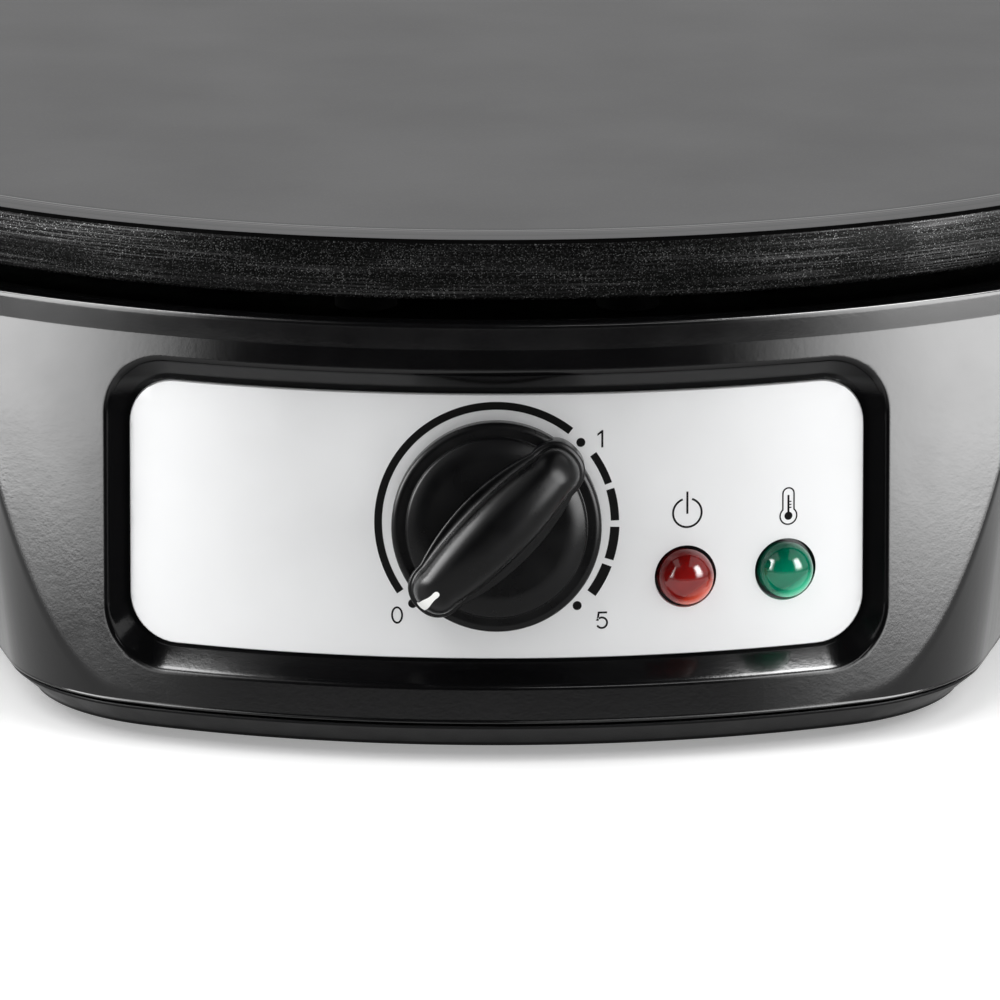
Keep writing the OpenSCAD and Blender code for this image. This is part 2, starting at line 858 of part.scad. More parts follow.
module control_knob() {
  skirt_top = knob_gap + knob_skirt_h;
  disc_r = knob_disc_d / 2;
  disc_top = skirt_top + knob_disc_h;
  roof = skirt_top - knob_wall;
  color([0.06, 0.06, 0.06])
  at_knob()
  rotate([0, 0, pointer_angle])
  difference() {
    union() {
      difference() {
        rotate_extrude($fn = 120)
          polygon(concat(
            [[0, knob_gap], [knob_r, knob_gap]],
            arc([knob_r - knob_round, skirt_top - knob_round], knob_round, 0, 90, 3),
            [[disc_r, skirt_top]],
            arc([disc_r - knob_round, disc_top - knob_round], knob_round, 0, 90, 3),
            [[0, disc_top + disc_crown]]));
        rod(knob_r - knob_wall, knob_gap - past, roof);
      }
      rod(hub_r, hub_low, roof + past);
      difference() {
        grip(0);
        rod(big, -past, roof);
      }
    }
    spindle_form(spindle_r + seat_gap, hub_low - past, hub_depth + seat_gap, hub_low + past);
    difference() {
      pointer_slot(0);
      grip_core();
    }
  }
}

// A round bar along the knob's axis with a flat on one side from height flat_z.
module spindle_form(r, low, high, flat_z) {
  difference() {
    rod(r, low, high);
    translate([r - flat_cut, -r, flat_z]) cube([2 * r, 2 * r, flat_l]);
  }
}

module knob_pointer() {
  color([0.93, 0.93, 0.9])
  at_knob()
  rotate([0, 0, pointer_angle])
  difference() {
    intersection() {
      pointer_slot(seat_gap);
      grip(seat_gap);
    }
    translate([0, 0, seat_gap]) grip_core();
  }
}

// --------------------------------------------------------------- thermostat

// Heights along the knob's axis, from the panel's outer face.
bush_seat_r = 12;
bush_seat_h = 1.4;
bush_seat_z = -panel_t - glue_t - pan_t - bush_seat_h;
bush_top = 3.4;
nut_r = 7.5;
nut_h = 2.2;
body_front = bush_seat_z - seat_gap;
body_back = body_front - thermostat_l;
body_wall = 2.4;
chamber_half = thermostat_w / 2 - body_wall;
chamber_front = body_front - body_wall;
collar_r = spindle_r + 1.3;
collar_gap = 0.4;
collar_h = 0.9;
spindle_out = 2;
spindle_back = chamber_front - spindle_out;
plunger_r = 2.5;
// Free play at both ends of the plunger, at rest.
plunger_gap = plunger_travel / 2;
plunger_l = 4.6;
plunger_front = spindle_back - plunger_gap;
plunger_back = plunger_front - plunger_l;
arm_t = 0.8;
arm_z = plunger_back - plunger_gap - arm_t / 2;
arm_pivot_y = 10.2;
arm_pin_r = 0.9;
arm_half_w = 2.5;
arm_low_y = -9.5;
contact_r = 1.4;
contact_h = 0.9;
contact_y = arm_low_y + 2;
ear_t = 2;
ear_gap = 0.3;
ear_half_h = 2.2;
plate_t = 2;
cover_front = body_back - seat_gap;
cover_back = cover_front - plate_t;
tab_x = 8;
tab_y = -7;
tab_w = 6.3;
tab_t = 0.8;
tab_l = 8;
capsule_r = 9;
capsule_h = 3;
capillary_r = 0.9;
capillary_y = 6;

module thermostat_spindle() {
  color([0.72, 0.72, 0.74])
  at_knob()
  rotate([0, 0, pointer_angle])
  union() {
    spindle_form(spindle_r, spindle_back, hub_depth, hub_low + past + seat_gap);
    rod(collar_r, chamber_front - collar_gap - collar_h, chamber_front - collar_gap);
  }
}

module spindle_nut() {
  color([0.75, 0.75, 0.76])
  at_knob()
  difference() {
    translate([0, 0, seat_gap]) cylinder(r = nut_r, h = nut_h, $fn = 6);
    rod(bush_r + seat_gap, -past, nut_h + past);
  }
}

module thermostat_body() {
  color([0.75, 0.7, 0.58])
  at_knob()
  difference() {
    union() {
      difference() {
        translate([-thermostat_w / 2, -thermostat_w / 2, body_back])
          cube([thermostat_w, thermostat_w, thermostat_l]);
        translate([-chamber_half, -chamber_half, body_back - past])
          cube([2 * chamber_half, 2 * chamber_half, chamber_front - body_back + past]);
      }
      rod(bush_r, body_front - past, bush_top);
      for (side = [-1, 1])
        translate([side * (arm_half_w + ear_gap + ear_t / 2) - ear_t / 2,
            arm_pivot_y - ear_half_h, arm_z - ear_half_h])
          cube([ear_t, chamber_half - arm_pivot_y + ear_half_h + body_wall / 2, 2 * ear_half_h]);
    }
    rod(spindle_r + running_gap, chamber_front - past, bush_top + past);
    translate([0, arm_pivot_y, arm_z])
      rotate([0, 90, 0])
        cylinder(r = arm_pin_r + running_gap, h = thermostat_w - 2 * body_wall, center = true);
  }
}

module thermostat_plunger() {
  color([0.8, 0.65, 0.3])
  at_knob() rod(plunger_r, plunger_back, plunger_front);
}

module contact_arm() {
  color([0.8, 0.5, 0.3])
  at_knob()
  union() {
    translate([-arm_half_w, arm_low_y, arm_z - arm_t / 2])
      cube([2 * arm_half_w, arm_pivot_y - arm_low_y, arm_t]);
    translate([0, arm_pivot_y, arm_z])
      rotate([0, 90, 0])
        cylinder(r = arm_pin_r, h = 2 * (arm_half_w + ear_gap + ear_t), center = true);
    translate([0, contact_y, arm_z]) rod(contact_r, -arm_t / 2 - contact_h, 0);
  }
}

module thermostat_cover() {
  color([0.3, 0.22, 0.15])
  at_knob()
  difference() {
    union() {
      translate([-thermostat_w / 2, -thermostat_w / 2, cover_back])
        cube([thermostat_w, thermostat_w, plate_t]);
      for (side = [-1, 1])
        translate([side * tab_x - tab_w / 2, tab_y - tab_t / 2, cover_back - tab_l])
          cube([tab_w, tab_t, tab_l + plate_t / 2]);
    }
    translate([0, capillary_y, 0])
      rod(capillary_r + slip_gap, cover_back - past, cover_front + past);
  }
}

module pressure_capsule() {
  color([0.7, 0.7, 0.7])
  at_knob() rod(capsule_r, cover_front + seat_gap, cover_front + seat_gap + capsule_h);
}

// Point in the object's frame of a point given on the knob's axes.
function from_knob(p) =
  let (r = wall_r(z_knob, panel_inset))
  [p[0], -r - p[2] * cos(lean) + p[1] * sin(lean), z_knob + p[2] * sin(lean) + p[1] * cos(lean)];

// --------------------------------------- pieces under the hot plate's disc

bulb_r = 3;
bulb_l = 52;
clip_reach = 12;
bulb_y = bulb_stud[1] - clip_reach;
clip_t = 0.8;
clip_w = 10;
clip_play = 0.6;
clip_screw_r = 1.5;
clip_screw_bite = 5;
fuse_r = 3.2;
fuse_l = 20;
fuse_y = fuse_stud[1] - clip_reach;
z_bulb = z_disc - seat_gap - bulb_r;
z_fuse = z_disc - seat_gap - fuse_r;

module sensing_bulb() {
  color([0.75, 0.55, 0.35])
  translate([bulb_stud[0] - bulb_l / 2, bulb_y, z_bulb])
    rotate([0, 90, 0]) cylinder(r = bulb_r, h = bulb_l);
}

module thermal_fuse() {
  color([0.85, 0.85, 0.82])
  translate([fuse_stud[0] - fuse_l / 2, fuse_y, z_fuse])
    rotate([0, 90, 0]) cylinder(r = fuse_r, h = fuse_l);
}

// A strip that is screwed to a stud at one end and hooks under a round piece.
module clip(stud, centre_y, centre_z, r) {
  low = z_stud - seat_gap - clip_t;
  hook = centre_z - r - seat_gap - clip_t;
  bend_y = centre_y + r + clip_play;
  translate([stud[0], 0, 0])
  difference() {
    translate([-clip_w / 2, 0, 0])
      union() {
        translate([0, bend_y, low]) cube([clip_w, stud[1] + clip_w / 2 - bend_y, clip_t]);
        translate([0, bend_y, min(low, hook)]) cube([clip_w, clip_t, abs(low - hook) + clip_t]);
        translate([0, centre_y - r, hook]) cube([clip_w, bend_y + clip_t - centre_y + r, clip_t]);
      }
    translate([0, stud[1], 0]) rod(clip_screw_r + slip_gap, low - past, low + clip_t + past);
  }
}

module bulb_clip() {
  color([0.7, 0.7, 0.72]) clip(bulb_stud, bulb_y, z_bulb, bulb_r);
}

module fuse_clip() {
  color([0.7, 0.7, 0.72]) clip(fuse_stud, fuse_y, z_fuse, fuse_r);
}

small_head_r = 2.8;
small_head_h = 1.8;
module small_screw(place) {
  head = z_stud - 2 * seat_gap - clip_t;
  translate([place[0], place[1], 0]) {
    rod(clip_screw_r, head - small_head_h / 2, z_stud + clip_screw_bite - past);
    difference() {
      rod(small_head_r, head - small_head_h, head);
      cross_slot(head - small_head_h, small_head_h / 2);
    }
  }
}

module clip_screws() {
  color([0.66, 0.66, 0.68]) {
    small_screw(bulb_stud);
    small_screw(fuse_stud);
  }
}

// The earth lead ends in a ring under its screw.
module earth_screw() {
  color([0.8, 0.66, 0.32]) {
    small_screw(earth_stud);
    translate([earth_stud[0], earth_stud[1], 0])
      tube(stud_r, clip_screw_r + slip_gap, z_stud - seat_gap - clip_t, z_stud - seat_gap);
  }
}

// ---------------------------------------------------------- terminal block

block_x = 0;
block_y = 105;
block_hole_x = 14;
block_post_r = 4;
block_post_h = 4;
block_screw_r = 1.4;
block_head_r = 2.6;
block_size = [36, 16, 14];
z_block = z_cover + cover_t + block_post_h;
z_block_top = z_block + seat_gap + block_size[2];
z_pole = z_block + block_size[2] / 2;
z_block_hole = z_cover + 1.4;
pole_pitch = 8;
pole_r = 2.2;

module at_block_screws() {
  for (side = [-1, 1])
    translate([block_x + side * block_hole_x, block_y, 0]) children();
}

module terminal_block() {
  color([0.9, 0.9, 0.86])
  difference() {
    translate([block_x - block_size[0] / 2, block_y - block_size[1] / 2, z_block + seat_gap])
      cube(block_size);
    at_block_screws() rod(block_screw_r + slip_gap, z_block - past, z_block_top + past);
    for (i = [-1:1])
      translate([block_x + i * pole_pitch, block_y, z_pole])
        rotate([90, 0, 0]) cylinder(r = pole_r, h = block_size[1] + 2 * past, center = true);
  }
}

module block_screws() {
  color([0.66, 0.66, 0.68])
  at_block_screws() {
    low = z_block_top + seat_gap;
    rod(block_screw_r, z_block_hole + slip_gap, low + small_head_h / 2);
    difference() {
      rod(block_head_r, low, low + small_head_h);
      translate([-slot_w / 2, -big / 2, low + small_head_h / 2]) cube([slot_w, big, big]);
    }
  }
}

// --------------------------------------------------------------- cord inlet

gland_nut_r = 9;
gland_nut_h = 4;
gland_nut_z = -wall - 0.4 - gland_nut_h;
gland_seat = 0.1;
gland_flange_h = 3;
gland_step = 2;
gland_edge = 1;
neck_out = 1.9;

module cord_inlet_gland() {
  inlet_r = inlet_d / 2;
  color([0.07, 0.07, 0.07])
  at_inlet()
  difference() {
    union() {
      rotate_extrude()
        polygon([[0, gland_seat], [inlet_r, gland_seat], [inlet_r, gland_flange_h],
          [inlet_r - gland_step, gland_flange_h + gland_edge],
          [inlet_r - gland_step - gland_edge, inlet_l - gland_edge],
          [inlet_r - gland_step - 2 * gland_edge, inlet_l], [0, inlet_l]]);
      rod(inlet_neck_r, gland_nut_z - neck_out, past);
    }
    rod(inlet_bore_d / 2, gland_nut_z - neck_out - past, inlet_l + past);
  }
}

module gland_nut() {
  color([0.12, 0.12, 0.12])
  at_inlet()
  difference() {
    translate([0, 0, gland_nut_z]) cylinder(r = gland_nut_r, h = gland_nut_h, $fn = 6);
    rod(inlet_neck_r + seat_gap, gland_nut_z - past, 0);
  }
}

// -------------------------------------------------------------------- leads

lead_r = 1.1;
lamp_lead_r = 0.8;
lead_sides = 8;
lead_steps = 4;

// A smooth curve through the points of a route.
function catmull(a, b, c, d, t) = 0.5 * (2 * b + t * (c - a)
  + t * t * (2 * a - 5 * b + 4 * c - d) + t * t * t * (3 * b - a - 3 * c + d));
function smooth(route) = let (last = len(route) - 1) concat(
  [for (i = [0:last - 1], k = [0:lead_steps - 1])
    catmull(route[max(i - 1, 0)], route[i], route[i + 1], route[min(i + 2, last)],
      k / lead_steps)],
  [route[last]]);
function unit(v) = v / norm(v);
function across(t) = unit(cross(t, abs(t[2]) < 0.8 ? [0, 0, 1] : [1, 0, 0]));
// Carries a direction along the tangents without twisting it.
function carried(tangents, u, i = 0) = i == len(tangents) ? [] :
  let (v = unit(u - (u * tangents[i]) * tangents[i]))
  concat([v], carried(tangents, v, i + 1));

// A round lead along a route.
module lead(route, r = lead_r) {
  line = smooth(route);
  n = len(line);
  tangents = [for (i = [0:n - 1]) unit(line[min(i + 1, n - 1)] - line[max(i - 1, 0)])];
  sides = carried(tangents, across(tangents[0]));
  points = [for (i = [0:n - 1], k = [0:lead_sides - 1])
    let (a = 360 * k / lead_sides)
    line[i] + r * (cos(a) * sides[i] + sin(a) * cross(tangents[i], sides[i]))];
  faces = concat(
    [[for (k = [0:lead_sides - 1]) k]],
    [for (i = [0:n - 2], k = [0:lead_sides - 1], half = [0, 1])
      let (
        a = i * lead_sides + k,
        b = i * lead_sides + (k + 1) % lead_sides,
        c = a + lead_sides,
        d = b + lead_sides)
      half == 0 ? [a, c, b] : [b, c, d]],
    [[for (k = [lead_sides - 1:-1:0]) (n - 1) * lead_sides + k]]);
  polyhedron(points = points, faces = faces);
}

// Ends of the leads.
lead_out = 6;
function tab_end(side, out = 0) =
  from_knob([side * tab_x, tab_y, cover_back - tab_l - end_gap - out]);
function pin_end(side) = [element_r * cos(element_end(side)), element_r * sin(element_end(side)),
  pin_low - end_gap];
function block_end(x) = [block_x + x, block_y - block_size[1] / 2 - end_gap, z_pole];

module live_wire() {
  color([0.45, 0.25, 0.12])
  lead([block_end(-pole_pitch), [-14, 80, 20], [-34, 40, 24], [-42, -20, 26], [-30, -80, 26],
    tab_end(-1, lead_out), tab_end(-1)]);
}

// From the thermostat to the fuse, and from the fuse to the element.
module fuse_leads() {
  end_x = fuse_l / 2 + end_gap;
  color([0.8, 0.78, 0.7]) {
    lead([tab_end(1), tab_end(1, lead_out), [8, -94, 38], [4, -82, 50], [3, -80, 60],
      [3, -72, 67], [2, -46, 68], [-6, -20, 71], [-15, -10, 76],
      [fuse_stud[0] + end_x, fuse_y, z_fuse]]);
    lead([[fuse_stud[0] - end_x, fuse_y, z_fuse], [-48, -9, 76], [-43, -30, 70], [-24, -58, 68],
      [-6, -74, 66], [-3, -80, 58], [-5, -85, 46], [-14, -90, 39], [-22, -92, 40], pin_end(-1)]);
  }
}

module neutral_wire() {
  color([0.15, 0.35, 0.6])
  lead([pin_end(1), [24, -90, 38], [28, -70, 32], [26, -20, 30], [16, 45, 22],
    block_end(pole_pitch)]);
}

module earth_wire() {
  color([0.35, 0.6, 0.25])
  lead([[earth_stud[0], earth_stud[1] - stud_r - end_gap, z_stud - 0.5], [-33, 20, 72],
    [-22, 4, 68], [-8, -14, 66], [-3, -21, 60], [-3, -22, 50], [2, -10, 34], [4, 30, 24],
    [1, 80, 19], block_end(0)]);
}

module lamp_wires() {
  color([0.8, 0.2, 0.15]) {
    lamp_lead(power_lamp_x, [[26, -80, 18], [14, -20, 14], [6, 50, 13], [4, 85, 14]], 4);
    lamp_lead(ready_lamp_x, [[38, -66, 12], [22, -10, 11], [14, 50, 11], [12, 85, 13]], 12);
  }
}

// From the back of a lamp's neon along a way to the terminal block.
module lamp_lead(distance, way, end_x) {
  r = wall_r(z_lamp, panel_inset);
  a = asin(distance / r);
  out = [sin(a) * cos(lean), -cos(a) * cos(lean), sin(lean)];
  start = [r * sin(a), -r * cos(a), z_lamp] + out * (neon_low - end_gap);
  lead(concat([start, start - out * lead_out / 2, start - out * lead_out * 1.5], way,
    [block_end(end_x)]), r = lamp_lead_r);
}

module capillary_tube() {
  color([0.75, 0.55, 0.35])
  lead([from_knob([0, capillary_y, cover_front]), from_knob([0, capillary_y, cover_back - 4]),
    [2, -108, 36], [4, -70, 38], [3, -45, 40], [3, -26, 48], [3, -21, 60], [9, -14, 69],
    [24, -8, 75], [35, -2, 78], [38, 6, z_bulb], [33, bulb_y, z_bulb],
    [bulb_stud[0] + bulb_l / 2 + end_gap, bulb_y, z_bulb]], r = capillary_r);
}

hot_plate();
upper_housing();
bottom_cover();
control_fascia();
control_knob();
knob_pointer();
thermostat_spindle();
spindle_nut();
power_lamp_lens();
ready_lamp_lens();
power_lamp_holder();
ready_lamp_holder();
power_neon();
ready_neon();
foot_front_left();
foot_front_right();
foot_rear_left();
foot_rear_right();
cover_screws();
cord_inlet_gland();
gland_nut();
heating_element();
terminal_insulators();
reflector_pan();
plate_spacers();
plate_screws();
thermostat_body();
thermostat_cover();
thermostat_plunger();
contact_arm();
pressure_capsule();
capillary_tube();
sensing_bulb();
bulb_clip();
thermal_fuse();
fuse_clip();
clip_screws();
terminal_block();
block_screws();
earth_screw();
live_wire();
neutral_wire();
fuse_leads();
earth_wire();
lamp_wires();
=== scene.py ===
"""Looks for the electric crepe maker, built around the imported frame.

Lengths are in millimetres in this file and become metres when a mesh is made.
"""
import json
import math

import bmesh
import bpy
import numpy as np
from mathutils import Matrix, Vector
from mathutils.geometry import delaunay_2d_cdt


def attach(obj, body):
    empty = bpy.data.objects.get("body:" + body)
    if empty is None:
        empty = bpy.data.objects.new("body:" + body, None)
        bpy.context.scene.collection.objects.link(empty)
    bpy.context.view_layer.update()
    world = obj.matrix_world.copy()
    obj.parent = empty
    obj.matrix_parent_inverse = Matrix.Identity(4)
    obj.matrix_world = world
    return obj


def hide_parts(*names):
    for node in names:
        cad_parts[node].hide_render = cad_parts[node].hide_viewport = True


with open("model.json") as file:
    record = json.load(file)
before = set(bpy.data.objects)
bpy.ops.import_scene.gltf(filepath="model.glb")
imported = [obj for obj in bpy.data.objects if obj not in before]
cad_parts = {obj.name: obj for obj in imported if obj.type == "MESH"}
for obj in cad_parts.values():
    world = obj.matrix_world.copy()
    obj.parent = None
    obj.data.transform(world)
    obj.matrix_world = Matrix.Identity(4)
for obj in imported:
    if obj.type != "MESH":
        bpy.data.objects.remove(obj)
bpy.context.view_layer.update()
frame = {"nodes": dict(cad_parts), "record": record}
nodes = frame["nodes"]

MM = 0.001
scene = bpy.context.scene

# Sizes, as in the part's source.
LEAN = math.radians(9.5)
BODY_R, DISH_R, PLATE_R = 155.0, 150.7, 150.0
Z_COVER, Z_PART, Z_PARTED = 2.5, 7.2, 7.6
Z_LIP, Z_CREASE, Z_DECK, Z_DECK_LOW = 73.4, 69.2, 61.4, 58.9
Z_SKIRT, Z_DISC, Z_TOP = 76.4, 82.1, 87.1
Z_PANEL, Z_KNOB, Z_LAMP = 39.1, 39.6, 30.1
WALL, PAN_T, COVER_T, COVER_SLOPE = 2.6, 2.2, 2.4, 4.2
PANEL_W, PANEL_H, PANEL_CORNER, PANEL_T, PANEL_INSET = 123.8, 43.8, 7.8, 0.8, 4.05
POCKET_DEPTH, POCKET_SIDE, POCKET_TOP, POCKET_BOTTOM, POCKET_CORNER = 5.0, 3.7, 4.3, 3.4, 10.0
PLINTH_W, PLINTH_CORNER, PLINTH_SIDE = 204.0, 38.0, 450.0
PLINTH_DRAFT = math.radians(6.5)
LENS_R, POWER_X, READY_X = 4.8, 31.6, 48.5
KNOB_TURNED = math.radians(225)


def wall_r(z, inset=0.0):
    """Radius of the leaning wall at height z, moved inwards by inset."""
    return BODY_R + (Z_CREASE - z) * math.tan(LEAN) - inset / math.cos(LEAN)


# ---- mesh tools

def welded(name, parts, weld):
    """One mesh from parts, each (points, faces), with doubles welded."""
    points, faces, start = [], [], 0
    for part_points, part_faces in parts:
        part_points = np.asarray(part_points, float).reshape(-1, 3)
        points.append(part_points)
        faces += [tuple(int(i) + start for i in face) for face in part_faces]
        start += len(part_points)
    mesh = bpy.data.meshes.new(name)
    mesh.from_pydata((np.concatenate(points) * MM).tolist(), [], faces)
    work = bmesh.new()
    work.from_mesh(mesh)
    bmesh.ops.remove_doubles(work, verts=work.verts, dist=weld)
    bmesh.ops.dissolve_degenerate(work, edges=work.edges, dist=1e-9)
    bmesh.ops.recalc_face_normals(work, faces=work.faces)
    work.to_mesh(mesh)
    work.free()
    return mesh


def placed(name, data, at=(0, 0, 0), turned=(0, 0, 0)):
    """An object in the scene, at a place in mm, turned by angles in degrees."""
    obj = bpy.data.objects.new(name, data)
    scene.collection.objects.link(obj)
    obj.location = Vector(at) * MM
    obj.rotation_euler = [math.radians(angle) for angle in turned]
    return obj


def piece(name, parts, material, body, replaces=(), sharp=35, weight=True, weld=1e-7):
    """A smooth-shaded object that rides on a body."""
    mesh = welded(name, parts, weld)
    mesh.shade_smooth()
    mesh.set_sharp_from_angle(angle=math.radians(sharp))
    obj = placed(name, mesh)
    mesh.materials.append(looks[material])
    if weight:
        weighted = obj.modifiers.new("normals", "WEIGHTED_NORMAL")
        weighted.keep_sharp = True
    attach(obj, body)
    if replaces:
        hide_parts(*replaces)
    return obj


def second_look(obj, material, chosen):
    """Gives another material to the faces whose middles are chosen."""
    obj.data.materials.append(looks[material])
    for face in obj.data.polygons:
        if chosen(face.center):
            face.material_index = 1


def grid_faces(rows, cols):
    """Quads between rows of points, each a closed ring."""
    return [(i + j, i + (j + 1) % cols, i + cols + (j + 1) % cols, i + cols + j)
            for i in range(0, (rows - 1) * cols, cols) for j in range(cols)]


def lathe(profile, around):
    """A closed form turned about Z from a closed profile of (r, z) points."""
    angles = np.arange(around) * 2 * math.pi / around
    profile = np.asarray(profile, float)
    rows = np.stack([np.outer(profile[:, 0], np.cos(angles)),
                     np.outer(profile[:, 0], np.sin(angles)),
                     np.repeat(profile[:, 1:2], around, 1)], -1)
    return rows.reshape(-1, 3), grid_faces(len(profile), around)


def unit(vectors):
    """The vectors, each made 1 long."""
    return vectors / np.linalg.norm(vectors, axis=-1, keepdims=True)


def oval(centre, rx, ry, angles):
    """Points of an ellipse at these angles, in radians."""
    return [(centre[0] + rx * math.cos(t), centre[1] + ry * math.sin(t)) for t in angles]


def arc(centre, radius, a, b, n):
    """Points of an arc from angle a to angle b, in degrees."""
    return oval(centre, radius, radius, [math.radians(a + (b - a) * i / n) for i in range(n + 1)])


def circle(centre, radius, n):
    return arc(centre, radius, 0, 360, n)[:-1]


def rounded(points, n=5):
    """A profile from corners (x, y) or (x, y, radius), each round one as an arc."""
    result = []
    count = len(points)
    for i, point in enumerate(points):
        radius = point[2] if len(point) > 2 else 0
        if radius == 0 or i in (0, count - 1):
            result.append(tuple(point[:2]))
            continue
        here = np.array(point[:2], float)
        before, after = unit(points[i - 1][:2] - here), unit(points[i + 1][:2] - here)
        half = math.acos(max(-1, min(1, float(before @ after)))) / 2
        cut = radius / math.tan(half)
        start, end = here + before * cut, here + after * cut
        centre = here + unit(before + after) * radius / math.sin(half)
        a = math.atan2(*(start - centre)[::-1])
        b = math.atan2(*(end - centre)[::-1])
        turn = (b - a + math.pi) % (2 * math.pi) - math.pi
        result += oval(centre, radius, radius, [a + turn * k / n for k in range(n + 1)])
    return result


def cut_up(loop, step):
    """A closed loop with its long sides cut to at most step."""
    result = []
    for i, p in enumerate(loop):
        q = loop[(i + 1) % len(loop)]
        count = max(1, math.ceil(math.dist(p, q) / step))
        result += [(p[0] + (q[0] - p[0]) * k / count, p[1] + (q[1] - p[1]) * k / count)
                   for k in range(count)]
    return result


def rectangle(x0, y0, x1, y1):
    return [(x0, y0), (x1, y0), (x1, y1), (x0, y1)]


def round_rect(w, h, r):
    """Outline of a rectangle with round corners, with its sides cut up."""
    points = []
    for x, y, a in ((1, 1, 0), (-1, 1, 90), (-1, -1, 180), (1, -1, 270)):
        points += arc((x * (w / 2 - r), y * (h / 2 - r)), r, a, a + 90, 12)
    return cut_up(points, 2.5)


def inside(points, loop):
    """Which points lie inside a closed loop."""
    x, y = points[:, 0], points[:, 1]
    hit = np.zeros(len(points), bool)
    loop = np.asarray(loop)
    for (x0, y0), (x1, y1) in zip(loop, np.roll(loop, -1, 0)):
        crosses = (y0 > y) != (y1 > y)
        with np.errstate(divide="ignore", invalid="ignore"):
            at = (x1 - x0) * (y - y0) / (y1 - y0) + x0
        hit ^= crosses & (x < at)
    return hit


def within(points, outer, holes):
    """Which points lie inside outer and outside every hole."""
    keep = inside(points, outer)
    for hole in holes:
        keep &= ~inside(points, hole)
    return keep


def distance_to(points, loop):
    """Distance from each point to the nearest corner of a loop."""
    loop = np.asarray(loop)
    return np.sqrt(((points[:, None, :] - loop[None]) ** 2).sum(-1)).min(1)


def raised(place, flat, level):
    """Flat points at one level. place maps arrays of x, y and level to space."""
    flat = np.asarray(flat, float)
    return place(flat[:, 0], flat[:, 1], np.full(len(flat), float(level)))


def filled(place, outer, holes, step, level):
    """Triangles over the region inside outer, without the holes, at one level.
    Its inner points stand every step."""
    extra = np.zeros((0, 2))
    if step:
        outline = np.asarray(outer)
        low, high = outline.min(0), outline.max(0)
        xs, ys = np.arange(low[0] + step / 2, high[0], step), np.arange(low[1] + step / 2, high[1], step)
        extra = np.stack(np.meshgrid(xs, ys), -1).reshape(-1, 2)
        keep = within(extra, outer, holes)
        for loop in (outer, *holes):
            keep &= distance_to(extra, loop) > step * 0.45
        extra = extra[keep]
    points, edges = [], []
    for loop in (outer, *holes):
        start = len(points)
        points += loop
        edges += [(start + i, start + (i + 1) % len(loop)) for i in range(len(loop))]
    points += extra.tolist()
    got = delaunay_2d_cdt([Vector(p) for p in points], edges, [], 0, 1e-9)
    flat = np.array([tuple(v) for v in got[0]])
    middles = np.array([flat[list(face)].mean(0) for face in got[2]])
    faces = [tuple(face) for face, keep in zip(got[2], within(middles, outer, holes)) if keep]
    return raised(place, flat, level), faces


def band(place, *rings):
    """The strip between rings (loop, level), which have as many points each."""
    rows = [raised(place, loop, level) for loop, level in rings]
    return np.concatenate(rows), grid_faces(len(rows), len(rows[0]))


def strip(line, width, closed=False):
    """Outline of a line drawn with a width, or the left and right sides of a
    closed one."""
    line = np.asarray(line, float)
    after = np.roll(line, -1, 0) - line
    if not closed:
        after[-1] = after[-2]
    after = unit(after)
    before = np.roll(after, 1, 0)
    if not closed:
        before[0] = after[0]
    along = unit(before + after)
    side = np.stack([-along[:, 1], along[:, 0]], -1)
    side *= (width / 2 / np.maximum(0.4, (along * after).sum(1)))[:, None]
    left, right = [tuple(p) for p in line + side], [tuple(p) for p in line - side]
    return (left, right) if closed else left + right[::-1]


# ---- materials

def connect(tree, socket, value):
    """Sets a socket to a value, or links it to the socket that is given."""
    if isinstance(value, bpy.types.NodeSocket):
        tree.links.new(value, socket)
    else:
        socket.default_value = value


def feed(tree, node, **values):
    """Connects inputs of a node. Their names are written with _ for a space."""
    for name, value in values.items():
        connect(tree, node.inputs[name.replace("_", " ")], value)


def math_node(tree, operation, *values):
    made = tree.nodes.new("ShaderNodeMath")
    made.operation = operation
    for socket, value in zip(made.inputs, values):
        connect(tree, socket, value)
    return made.outputs[0]


